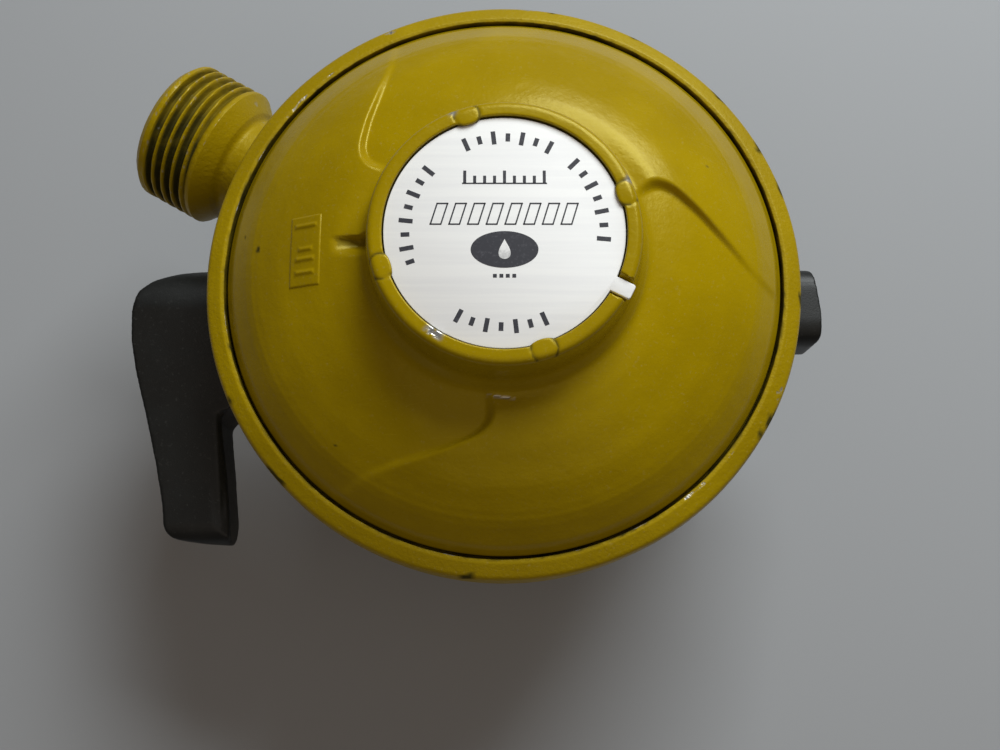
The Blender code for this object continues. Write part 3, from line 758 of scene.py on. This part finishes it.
def makeDatePad():
    (x0, x1), (y0, y1) = datePad["x"], datePad["y"]
    step = datePad["step"]
    columns, rows = round((x1 - x0) / step), round((y1 - y0) / step)
    bm = bmesh.new()
    grid = []
    middle = (x0 + x1) / 2
    for i in range(columns + 1):
        line = []
        for j in range(rows + 1):
            x, y = x0 + (x1 - x0) * i / columns, y0 + (y1 - y0) * j / rows
            edge = min(x - x0, x1 - x, y - y0, y1 - y)
            rise = datePad["rise"] * soft(edge / 0.3 + 0.02) - datePad["sink"]
            for centre, half in datePad["marks"]:
                off = max(abs(y - centre), abs(x - middle) - half)
                rise += datePad["markRise"] * bump(max(0.0, off - 0.05), 0.2)
            line.append(bm.verts.new((x, y, domeHeight(x, y) + rise)))
        grid.append(line)
    for i in range(columns):
        for j in range(rows):
            bm.faces.new((grid[i][j], grid[i + 1][j], grid[i + 1][j + 1], grid[i][j + 1]))
    edges = [e for e in bm.edges if e.is_boundary]
    sides = bmesh.ops.extrude_edge_only(bm, edges=edges)["geom"]
    lower = [v for v in sides if isinstance(v, bmesh.types.BMVert)]
    bmesh.ops.translate(bm, vec=(0, 0, -datePad["skirt"]), verts=lower)
    bmesh.ops.holes_fill(bm, edges=[e for e in bm.edges if e.is_boundary], sides=0)
    bmesh.ops.recalc_face_normals(bm, faces=bm.faces)
    makePiece(toObject("castPad", bm), enamelSmooth, "body")


makeDatePad()
print("cast pad raised")


# Cast body with its rolled rim.

body = {
    "steps": 288,
    "outlineStep": 0.6,
    "lipInner": 34.78,
    "spindleHeight": 34.0,
    "nozzleX": 15.5,
    "chamberFloor": 39.7,
    "chamberRadius": 29.0,
    "screwRadius": 19.5,
    "top": 52.7,
}
outlet = {
    "turn": 150.3,
    "height": 37.8,
    "end": 53.6,
    "bore": 4.5,
    "radius": 10.0,
    "pitch": 1.5,
    "depth": 0.92,
    "firstRidge": 44.65,
    "lastRidge": 51.95,
    "threadStep": 0.09,
    "threadEnd": 0.2,
    "neck": 6.9,
}


def bodyOutline():
    top, lip = body["top"], body["lipInner"]
    chamber, floor = body["chamberRadius"], body["chamberFloor"]
    foot = [(0, 19.0, 0), (22.1, 19.0, 0.3), (22.1, 22.8, 0.4), (21.1, 23.8, 0.6), (16.0, 24.6, 1.6)]
    bowl = [(16.0, 34.2, 2.2), (18.0, 36.7, 1.8), (25.4, 37.2, 4.0), (29.8, 38.6, 4.0), (32.2, 41.2, 2.5),
            (33.2, 43.7, 0.6)]
    rim = [(36.7, 43.9, 0.9), (rimRadius, 45.0, 1.2), (rimRadius, 50.2, 0.8), (37.2, 51.9, 1.0),
           (35.3, top, 0.5), (lip, top - 0.08, 0.15), (lip, 50.3, 0)]
    inside = [(30.9, 50.3, 0), (30.9, 47.5, 0), (chamber, 47.5, 0.2), (chamber, 41.2, 1.0),
              (27.5, floor, 0.8), (0, floor, 0)]
    return foot + bowl + rim + inside


def rimShape(r, turn, z):
    # the rolled rim is not perfectly even
    if r > 33.4 and z > 44:
        spot = Vector((math.cos(turn) * 2.2, math.sin(turn) * 2.2, z * 0.06))
        r += 0.07 * noise.noise(spot * 1.2) * soft((r - 33.4) / 1.0)
        z += 0.05 * noise.noise(spot * 1.7 + Vector((7, 0, 0))) * soft((z - 49) / 2)
    return *polar(r, turn), z


def outletPlace():
    turn = Matrix.Rotation(math.radians(outlet["turn"]), 4, "Z")
    return Matrix.Translation((0, 0, outlet["height"])) @ turn @ Matrix.Rotation(math.pi / 2, 4, "Y")


# chips along the rim's outer edge: turn in degrees, height, size
rimChips = ((41.0, 51.7, 0.85), (28.0, 51.6, 0.85), (18.7, 51.6, 0.8), (-4.3, 51.5, 0.9), (-29.0, 51.4, 1.0),
            (-32.0, 52.0, 0.5), (-97.0, 51.6, 0.8), (-137.0, 51.7, 0.7), (62.0, 51.6, 0.7),
            (80.0, 52.0, 0.5), (205.0, 52.0, 0.5), (221.0, 51.6, 0.7))


def bodyGrimeAndShade(co):
    r = math.hypot(co.x, co.y)
    grimeAndShade = 0.0
    # painted shade deep in the groove, on the lip's inner wall, broken up by noise
    if r > 33.8 and co.z > 50.0:
        ragged = 0.12 * noise.noise(co * 1.6)
        grimeAndShade = 0.92 * soft((body["lipInner"] + 0.16 + ragged - r) / 0.16)
        grimeAndShade *= 0.8 + 0.5 * noise.noise(co * 0.35)
    if r > 35 and co.z > 48:
        turn = math.degrees(math.atan2(co.y, co.x))
        for chipTurn, z, size in rimChips:
            side = math.radians((turn - chipTurn + 180) % 360 - 180) * r
            off = math.hypot(side * 0.6, (co.z - z) * 0.8, (r - 37.2) * 0.9)
            off += 0.45 * noise.noise(co * 1.9)
            grimeAndShade = max(grimeAndShade, 0.95 * soft((size * 0.85 - off) / 0.25))
    return max(0.0, min(1.0, grimeAndShade))


def bodyBare(co):
    r = math.hypot(co.x, co.y)
    if r < 36.2 or co.z < 45:
        return 0.0
    turn = math.degrees(math.atan2(co.y, co.x))
    side = math.radians(turn + 1.5) * r
    off = math.hypot(side, (co.z - 50.9) * 1.2) + 0.4 * noise.noise(co * 2.4)
    return soft((0.62 - off) / 0.2)


def screwSpots():
    turns = [math.radians(45 + 90 * k) for k in range(4)]
    return [Matrix.Translation((*polar(body["screwRadius"], t), 0)) for t in turns]


def makeBody():
    outline = spaced(rounded(bodyOutline()), body["outlineStep"])
    shell = toObject("castBody", turned(outline, body["steps"], rimShape))
    z, floor, nozzleX = body["spindleHeight"], body["chamberFloor"], body["nozzleX"]
    boss = rounded([(0, -33.8, 0), (7.0, -33.8, 0.7), (7.0, -11.0, 0), (0, -11.0, 0)])
    bore = rounded([(0, -40.0, 0), (5.7, -40.0, 0), (5.7, -31.3, 0), (4.4, -31.3, 0), (4.4, 6.5, 0),
                    (2.1, 6.5, 0), (2.1, nozzleX + 1.5, 0), (0, nozzleX + 1.5, 0)])
    nozzleSpot = Matrix.Translation((nozzleX, 0, 0))
    rockerPin = Matrix.Translation((12.0, 0, 44.5)) @ Matrix.Rotation(math.pi / 2, 4, "X")
    carved(shell, "UNION",
           placed(turned(boss, 96), alongX(z)),
           placed(disc(5.0, 30.0, floor - 0.5), nozzleSpot),
           block((9.8, 14.2), (-6.0, -3.4), (floor - 0.6, 46.5)),
           block((9.8, 14.2), (3.4, 6.0), (floor - 0.6, 46.5)))
    carved(shell, "DIFFERENCE",
           placed(disc(outlet["bore"], 23.5, 40.0), outletPlace()),
           placed(turned(bore, 64), alongX(z)),
           placed(disc(2.7, z, floor + 2), nozzleSpot),
           disc(3.5, 17.0, z),
           placed(disc(1.3, -8.0, 8.0), rockerPin),
           *[placed(disc(1.45, 18.0, 24.0, 24), spot) for spot in screwSpots()])
    masks = {"grimeAndShade": bodyGrimeAndShade, "bare": bodyBare, "chips": lambda co: soft((co.z - 43) / 3)}
    makePiece(shell, enamelCast, "body", ["lower_body"], masks, sharp=38)


makeBody()
print("body cast and bored")


# Outlet: neck, cone, shoulder and a helical thread.

def threadRadius(along, turn):
    full = outlet["radius"]
    phase = (along - outlet["firstRidge"]) / outlet["pitch"] - (turn - math.pi) / (2 * math.pi)
    groove = 1 - min(1.0, abs((phase % 1.0) - 0.5) / 0.42)
    # the cut fades in past the shoulder and stops before the plain nose
    entry = soft((along - outlet["firstRidge"] - 0.05) / 1.7)
    leave = soft((outlet["lastRidge"] - along + outlet["threadEnd"]) / 0.35)
    return full - outlet["depth"] * min(1.0, groove * 1.6) * entry * leave


def makeOutlet():
    end, neck, full, bore = outlet["end"], outlet["neck"], outlet["radius"], outlet["bore"]
    start, stop = outlet["firstRidge"], outlet["lastRidge"]
    back = rounded([(neck, 24.0, 0), (neck, 42.0, 1.0), (neck + 1.1, 42.5, 0.5), (full, 44.45, 0.15),
                    (full, start, 0)])
    back = spaced(back, 0.5)
    count = round((stop + outlet["threadEnd"] - start) / outlet["threadStep"])
    cut = [Vector((full, start + outlet["threadStep"] * (k + 1))) for k in range(count)]
    nose = rounded([(full, stop + 0.3, 0), (full, end - 0.95, 0.3), (full - 0.95, end, 0.25),
                    (bore + 0.8, end, 0.1), (bore, end - 0.8, 0.2), (bore, 24.0, 0)])
    nose = spaced(nose, 0.8)

    def shape(r, turn, along):
        if start <= along <= stop + outlet["threadEnd"] and r > 9:
            r = threadRadius(along, turn)
        if r > bore + 0.1:
            r += 0.035 * noise.noise(Vector((*polar(r, turn), along)) * 1.4)
        return *polar(r, turn), along

    bm = placed(turned(back + cut + nose, 192, shape), outletPlace())
    piece = toObject("outletThread", bm)
    inverse = outletPlace().inverted()

    def grimeAndShade(co):
        local = inverse @ co
        r, along = math.hypot(local.x, local.y), local.z
        if along < start or r < 6:
            # painted shade inside the bore
            return 0.55 if r < 5 else 0.0
        depth = (full - r) / outlet["depth"]
        if along > stop + 0.3:
            return 0.0
        # painted shade: darkest where the groove faces down and away from the window
        patchy = 0.62 + 0.45 * soft((local.y + 5) / 13) + 0.3 * noise.noise(co * 0.5)
        return max(0.0, min(1.0, soft((depth - 0.08) / 0.4) * patchy))

    def bare(co):
        local = inverse @ co
        r, along = math.hypot(local.x, local.y), local.z
        isCrest = r > full - 0.16 and along > start + 0.4
        return 0.45 * soft(noise.noise(co * 2.6) * 3 - 1.0) if isCrest else 0.0

    masks = {"grimeAndShade": grimeAndShade, "bare": bare, "chips": lambda co: 0.35}
    makePiece(piece, enamelCast, "body", masks=masks, sharp=30)


makeOutlet()
print("outlet threaded")


# Label plate, its tab in the slot, and printed marks that say nothing.

label = {
    "thickness": 0.5,
    "radius": 13.30,
    "tabHalf": 0.87,
    "tabReach": 15.6,
    "printRise": 0.02,
    "arcRadius": 10.9,
    "markHeight": 1.55,
    "stroke": 0.34,
    # arcs of marks: middle turn in degrees, and how many
    "arcs": ((88.0, 7), (20.0, 7), (-92.0, 7), (170.0, 8)),
    "arcPitch": 8.4,
}


def makeLabel():
    half = math.degrees(math.asin(label["tabHalf"] / label["radius"]))
    turns = [math.radians(half + (360 - 2 * half) * k / 240) for k in range(241)]
    outline = [Vector(polar(label["radius"], t)) for t in turns]
    reach, wide = label["tabReach"], label["tabHalf"]
    tab = rounded([(*outline[-1], 0), (reach, -wide, 0.35), (reach, wide, 0.35), (*outline[0], 0)])
    outline += tab[1:-1]
    bm = slab(outline, labelTop - label["thickness"], labelTop)
    rims = [e for e in bm.edges if all(abs(v.co.z - labelTop) < 1e-5 for v in e.verts)]
    bmesh.ops.bevel(bm, geom=rims, offset=0.12, segments=2, affect="EDGES", profile=0.5)
    placed(bm, Matrix.Rotation(math.radians(bonnet["tabTurn"]), 4, "Z"))
    plate = toObject("labelPlate", bm)
    makePiece(plate, plateMetal, "body", ["label_disc"], sharp=30)


def addPrint(bm, outline, rise):
    addSlab(bm, outline, labelTop - 0.05, labelTop + rise)


def strokeAt(bm, centre, turn, width, height, lean=0.0):
    # a flat printed bar, width by height, turned in its plane
    corners = []
    for sx, sy in ((-0.5, -0.5), (0.5, -0.5), (0.5, 0.5), (-0.5, 0.5)):
        spot = Vector((sx * width + lean * sy * height, sy * height))
        spot.rotate(Matrix.Rotation(turn, 2))
        corners.append((centre[0] + spot.x, centre[1] + spot.y))
    addPrint(bm, corners, label["printRise"])


def makePrint():
    bm = bmesh.new()
    stroke, height = label["stroke"], label["markHeight"]
    for middle, count in label["arcs"]:
        for k in range(count):
            turn = math.radians(middle + label["arcPitch"] * (k - (count - 1) / 2))
            size = height if k % 2 == 0 else height * 0.62
            strokeAt(bm, polar(label["arcRadius"], turn), turn - math.pi / 2, stroke * 1.5, size)
    # a scale of short strokes above the middle, a band of leaning bars across it
    for k in range(9):
        size = 1.5 if k % 4 == 0 else 0.9
        strokeAt(bm, (-4.4 + 1.1 * k, 6.2 + size / 2 - 0.75), 0.0, stroke, size)
    strokeAt(bm, (0.0, 5.45), 0.0, 9.4, 0.16)
    for k in range(8):
        x = -7.2 + 2.05 * k
        for side in (-0.5, 0.5):
            strokeAt(bm, (x + side * 1.15, 1.9), 0.0, 0.17, 2.5, lean=0.3)
        for side in (-1, 1):
            strokeAt(bm, (x + side * 0.3 * 1.25, 1.9 + side * 1.2), 0.0, 1.3, 0.17)
    # a plain dark oval with a paler drop in it
    drop = []
    for k in range(28):
        t = 2 * math.pi * k / 28
        pinch = math.sin(t / 2) ** 1.5
        drop.append((0.95 * math.sin(t) * pinch, -2.15 + 1.15 * math.cos(t)))
    turns = [2 * math.pi * k / 64 for k in range(64)]
    oval = [(3.7 * math.cos(t), -2.2 + 2.1 * math.sin(t)) for t in turns]
    addPrint(bm, oval, label["printRise"])
    for k in range(4):
        strokeAt(bm, (-1.05 + 0.7 * k, -5.2), 0.0, 0.42, 0.42)
    bmesh.ops.recalc_face_normals(bm, faces=bm.faces)
    makePiece(toObject("labelMarks", bm), ink, "body", sharp=30)
    dropMesh = bmesh.new()
    addPrint(dropMesh, drop, label["printRise"] * 2)
    bmesh.ops.recalc_face_normals(dropMesh, faces=dropMesh.faces)
    makePiece(toObject("labelDrop", dropMesh), plateMetal, "body", sharp=30)


makeLabel()
makePrint()
print("label laid and printed")


# Tap lever.

lever = {
    "axis": 34.0,
    "voxel": 0.20,
    "passes": 5,
    "burr": (-48.9, -11.2, 34.0),
    # the bevel along the arm's inner edge: x, y and height over the spindle's axis
    "strip": ((-34.0, -13.5, 1.5), (-39.0, -14.5, 3.85), (-39.5, -19.0, 3.5), (-39.1, -24.0, 3.2),
              (-38.2, -33.5, 3.05), (-34.0, -33.5, 0.9)),
}


def leverPlan():
    return rounded([
        (-34.9, 6.3, 0.4), (-40.8, 6.0, 8), (-44.9, 5.1, 6), (-48.0, 3.7, 3), (-49.8, 1.9, 2.5),
        (-50.4, -0.6, 6), (-50.5, -4.8, 12), (-49.8, -9.0, 12), (-48.9, -12.6, 14), (-47.9, -16.4, 14),
        (-46.7, -21.2, 16),
        (-45.5, -27.0, 8), (-45.0, -31.2, 2.4), (-39.9, -31.9, 10), (-36.4, -32.1, 0.4), (-36.5, -29.0, 10),
        (-37.2, -23.0, 12), (-37.9, -18.0, 8), (-38.2, -15.6, 1.5), (-37.5, -14.2, 1.0), (-34.9, -12.6, 0.4),
    ], closed=True, turnStep=5)


def leverSide():
    # seen from its outer side, as (y, z) from the spindle's axis
    hub = [polar(6.15, math.radians(t)) for t in range(95, -91, -5)]
    under = rounded([(0, -6.15, 0), (-13.6, -6.1, 1.5), (-16.4, -3.5, 2.0), (-24.0, -3.2, 10),
                     (-29, -3.15, 0)])
    turns = [math.radians(t) for t in range(265, 89, -8)]
    tip = [(-29.0 + 3.15 * math.cos(t), 3.15 * math.sin(t)) for t in turns]
    over = rounded([(-29, 3.15, 0), (-24.0, 3.2, 20), (-14.0, 3.8, 20), (-6.0, 5.0, 14), (-0.55, 6.12, 0)])
    return hub + under[1:-1] + tip + over[1:-1]


def makeLever():
    z = lever["axis"]
    piece = toObject("tapHandle", slab(leverPlan(), z - 10, z + 10))
    carved(piece, "INTERSECT", placed(slab(leverSide(), -58.0, -30.0), facingX(z)))
    # shallow bevelled strip along the arm's inner edge
    strip = lever["strip"]
    wedge = slab([corner[:2] for corner in strip], z, z + 9)
    for v, corner in zip(list(wedge.verts), strip):
        v.co.z = z + corner[2]
    carved(piece, "DIFFERENCE", wedge)
    moulded(piece, lever["voxel"], lever["passes"])
    # the spindle's bore, its screw's hole and the screw head's recess
    holes = (3.4, -43.5, -30.0, 72), (1.8, -48.0, -42.0, 48), (3.2, -56.0, -46.6, 72)
    carved(piece, "DIFFERENCE", *[placed(disc(*hole), alongX(z)) for hole in holes])
    makePiece(piece, plastic, "tap", ["tap_lever"], {"wear": lambda co: 1.0}, sharp=45)
    # burr left by the mould's parting line
    burr = bmesh.new()
    bmesh.ops.create_icosphere(burr, subdivisions=3, radius=0.42)
    for v in burr.verts:
        v.co = Vector((v.co.x * 1.0, v.co.y * 0.8, v.co.z * 2.2)) + Vector(lever["burr"])
        v.co += 0.08 * noise.noise_vector(v.co * 3)
    makePiece(toObject("leverBurr", burr), plastic, "tap", sharp=60)


makeLever()
print("lever moulded")


# Release button.

button = {
    "voxel": 0.17,
    "passes": 6,
    "half": 5.4,
    "corner": 3.4,
    "low": 30.3,
    "high": 40.5,
    "grooves": (32.6, 34.4, 36.2, 38.0),
}


def makeButton():
    half, low, high, corner = button["half"], button["low"], button["high"], button["corner"]
    plan = [(36.7, half, 0.3), (36.7, -half, 0.3), (42.9, -half, 1.5), (42.9, -1.0, 14), (42.15, half, 1.4)]
    section = [(half, low, corner), (half, high, corner), (-half, high, corner), (-half, low, corner)]
    plan, section = [rounded(corners, closed=True, turnStep=6) for corners in (plan, section)]
    piece = toObject("releaseKnob", slab(plan, low, high))
    carved(piece, "INTERSECT", placed(slab(section, 36.0, 46.0), facingX(0)))
    grooves = [block((42.45, 44.0), (-6.0, 6.0), (z - 0.35, z + 0.35)) for z in button["grooves"]]
    carved(piece, "DIFFERENCE", *grooves)
    carved(piece, "UNION", block((24.4, 37.4), (-5.0, 5.0), (28.9, 34.7)))
    moulded(piece, button["voxel"], button["passes"])
    carved(piece, "DIFFERENCE", block((25.3, 27.5), (-4.5, 4.5), (25.0, 33.4)))
    makePiece(piece, plastic, "latch", ["release_button"], {"wear": lambda co: 1.0}, sharp=45)


makeButton()
print("button moulded")


# Socket skirt, its button guide and the ring that closes it from below.

skirt = {
    "steps": 288,
    "bore": 10.2,
    "inner": 22.4,
    "outer": 24.5,
    "top": 18.7,
    "grips": 48,
    "gripDepth": 0.3,
    "legX": (20.5, 29.6),
    "guideX": (20.5, 33.0),
    "halfWidth": 7.2,
}


def skirtShape(r, turn, z):
    # shallow grip grooves down the outer wall
    if r > 24.3:
        wave = soft(0.5 - 0.9 * math.cos(skirt["grips"] * turn))
        r -= skirt["gripDepth"] * wave * soft((z - 4.6) / 0.8) * soft((20.2 - z) / 0.8)
    return *polar(r, turn), z


def roundedBlock(x, y, z, radius, edge):
    # a block with round upright edges and a softened top
    corners = [(x[0], y[0], radius), (x[1], y[0], radius), (x[1], y[1], radius), (x[0], y[1], radius)]
    bm = slab(rounded(corners, closed=True), z[0], z[1])
    rims = [e for e in bm.edges if all(abs(v.co.z - z[1]) < 1e-5 for v in e.verts)]
    bmesh.ops.bevel(bm, geom=rims, offset=edge, segments=3, affect="EDGES", profile=0.5)
    return bm


def makeSkirt():
    bore, inner, outer, top = skirt["bore"], skirt["inner"], skirt["outer"], skirt["top"]
    half = skirt["halfWidth"]
    outline = [(bore, 2.8, 0), (12.8, 2.8, 0.2), (12.8, 15.4, 0.8), (inner, 15.4, 0.8), (inner, 2.8, 0.2),
               (outer, 2.8, 0.3), (outer, 21.4, 0.5), (24.0, 22.3, 0.5), (inner, 22.6, 0.2), (inner, top, 0),
               (bore, top, 0.3)]
    fine = spaced(rounded(outline, closed=True), 0.8, closed=True)
    piece = toObject("socketSkirt", turned(fine, skirt["steps"], skirtShape))
    carved(piece, "UNION",
           *[placed(disc(3.3, 5.4, 16.0, 40), spot) for spot in screwSpots()],
           roundedBlock(skirt["legX"], (-half, half), (2.8, 20.0), 1.5, 0.4),
           roundedBlock(skirt["guideX"], (-half, half), (16.4, 36.3), 1.5, 0.7))
    carved(piece, "DIFFERENCE",
           disc(inner, top, 40.0, skirt["steps"]),
           block((20.0, 35.0), (-5.5, 5.5), (28.4, 35.2)),
           block((22.0, 28.0), (-5.5, 5.5), (2.0, 29.0)),
           block((12.4, 24.0), (-3.2, 3.2), (7.0, 13.2)),
           *[placed(disc(1.75, 0.0, 20.0, 24), spot) for spot in screwSpots()],
           block((-17.0, 19.0), (-12.6, 12.6), (2.0, 5.3)),
           block((18.0, 23.0), (-5.7, 5.7), (2.0, 5.3)),
           disc(bore, 0.0, top + 1, 96))
    makePiece(piece, plastic, "body", ["socket_housing"], sharp=35)


def makeBaseRing():
    bore, outer, half = skirt["bore"], skirt["outer"], skirt["halfWidth"]
    outline = [(bore + 1.3, 0, 0.2), (outer - 0.8, 0, 0.3), (outer, 0.8, 0.3), (outer, 2.5, 0.15),
               (bore + 0.1, 2.5, 0), (bore + 0.1, 1.2, 0.2)]
    fine = spaced(rounded(outline, closed=True), 0.8, closed=True)
    ring = toObject("baseRing", turned(fine, skirt["steps"]))
    carved(ring, "UNION", roundedBlock((18.0, 29.6), (-half, half), (0.4, 2.5), 1.5, 0.1))
    for spot in screwSpots():
        hole, recess = disc(1.75, -1.0, 4.0, 32), disc(3.0, -1.0, 1.7, 48)
        carved(ring, "DIFFERENCE", placed(hole, spot), placed(recess, spot))
    makePiece(ring, plastic, "body", ["base_cover"], sharp=35)


makeSkirt()
makeBaseRing()
print("socket skirt and base ring moulded")


# Floor, light and camera.

studio = {
    "aim": (0, 0, 0.03),
    "floorColour": (0.400, 0.413, 0.432),
    "windowColour": (0.94, 0.99, 1.0),
    "windowEnergy": 1.94,
    "windowPlace": (0.13, 0.29, 0.34),
    "windowSize": (0.25, 0.24),
    "fillColour": (1.0, 0.85, 0.72),
    "fillEnergy": 0.45,
    "fillPlace": (0.05, -0.22, 0.55),
    "fillSize": (0.6, 0.6),
    "skyColour": (1.0, 0.87, 0.76),
    "skyStrength": 0.10,
    "cameraPlace": (-0.0005, -0.0409, 0.1838),
    "cameraTilt": 12.19,
    "lens": 39.6,
}


def makeFloor():
    bm = bmesh.new()
    bmesh.ops.create_grid(bm, x_segments=2, y_segments=2, size=3.0)
    bmesh.ops.translate(bm, vec=(0, 0, cadBox[0].z - 0.0002), verts=bm.verts)
    floor = toObject("studioFloor", bm)
    material, tree, shader = newMaterial("paleFloor")
    tone = spread(tree, noiseOf(tree, 3.0, 2.0, 0.5), 0.2, 0.8)
    base = studio["floorColour"]
    darker = tuple(c * 0.97 for c in base)
    tree.links.new(blended(tree, tone, darker, base), shader.inputs["Base Color"])
    shader.inputs["Roughness"].default_value = 0.9
    floor.data.materials.append(material)


def makeLight(name, place, size, energy, aim, colour):
    data = bpy.data.lights.new(name, "AREA")
    data.color = colour
    data.shape = "RECTANGLE"
    data.size, data.size_y = size
    data.energy = energy
    light = bpy.data.objects.new(name, data)
    scene.collection.objects.link(light)
    light.location = place
    light.rotation_euler = (Vector(aim) - Vector(place)).to_track_quat("-Z", "Y").to_euler()


def makeStudio():
    makeFloor()
    window = studio["windowPlace"], studio["windowSize"], studio["windowEnergy"]
    makeLight("window", *window, studio["aim"], studio["windowColour"])
    fill = studio["fillPlace"], studio["fillSize"], studio["fillEnergy"]
    makeLight("fill", *fill, studio["aim"], studio["fillColour"])
    world = bpy.data.worlds.new("softSky")
    world.use_nodes = True
    sky = world.node_tree.nodes["Background"]
    sky.inputs["Color"].default_value = (*studio["skyColour"], 1.0)
    sky.inputs["Strength"].default_value = studio["skyStrength"]
    scene.world = world
    scene.view_settings.view_transform = "Standard"
    lens = bpy.data.cameras.new("camera")
    lens.lens = studio["lens"]
    lens.sensor_width = 36
    lens.clip_start = 0.005
    camera = bpy.data.objects.new("camera", lens)
    scene.collection.objects.link(camera)
    camera.location = studio["cameraPlace"]
    camera.rotation_euler = (math.radians(studio["cameraTilt"]), 0, 0)
    scene.camera = camera


makeStudio()
print("studio ready")
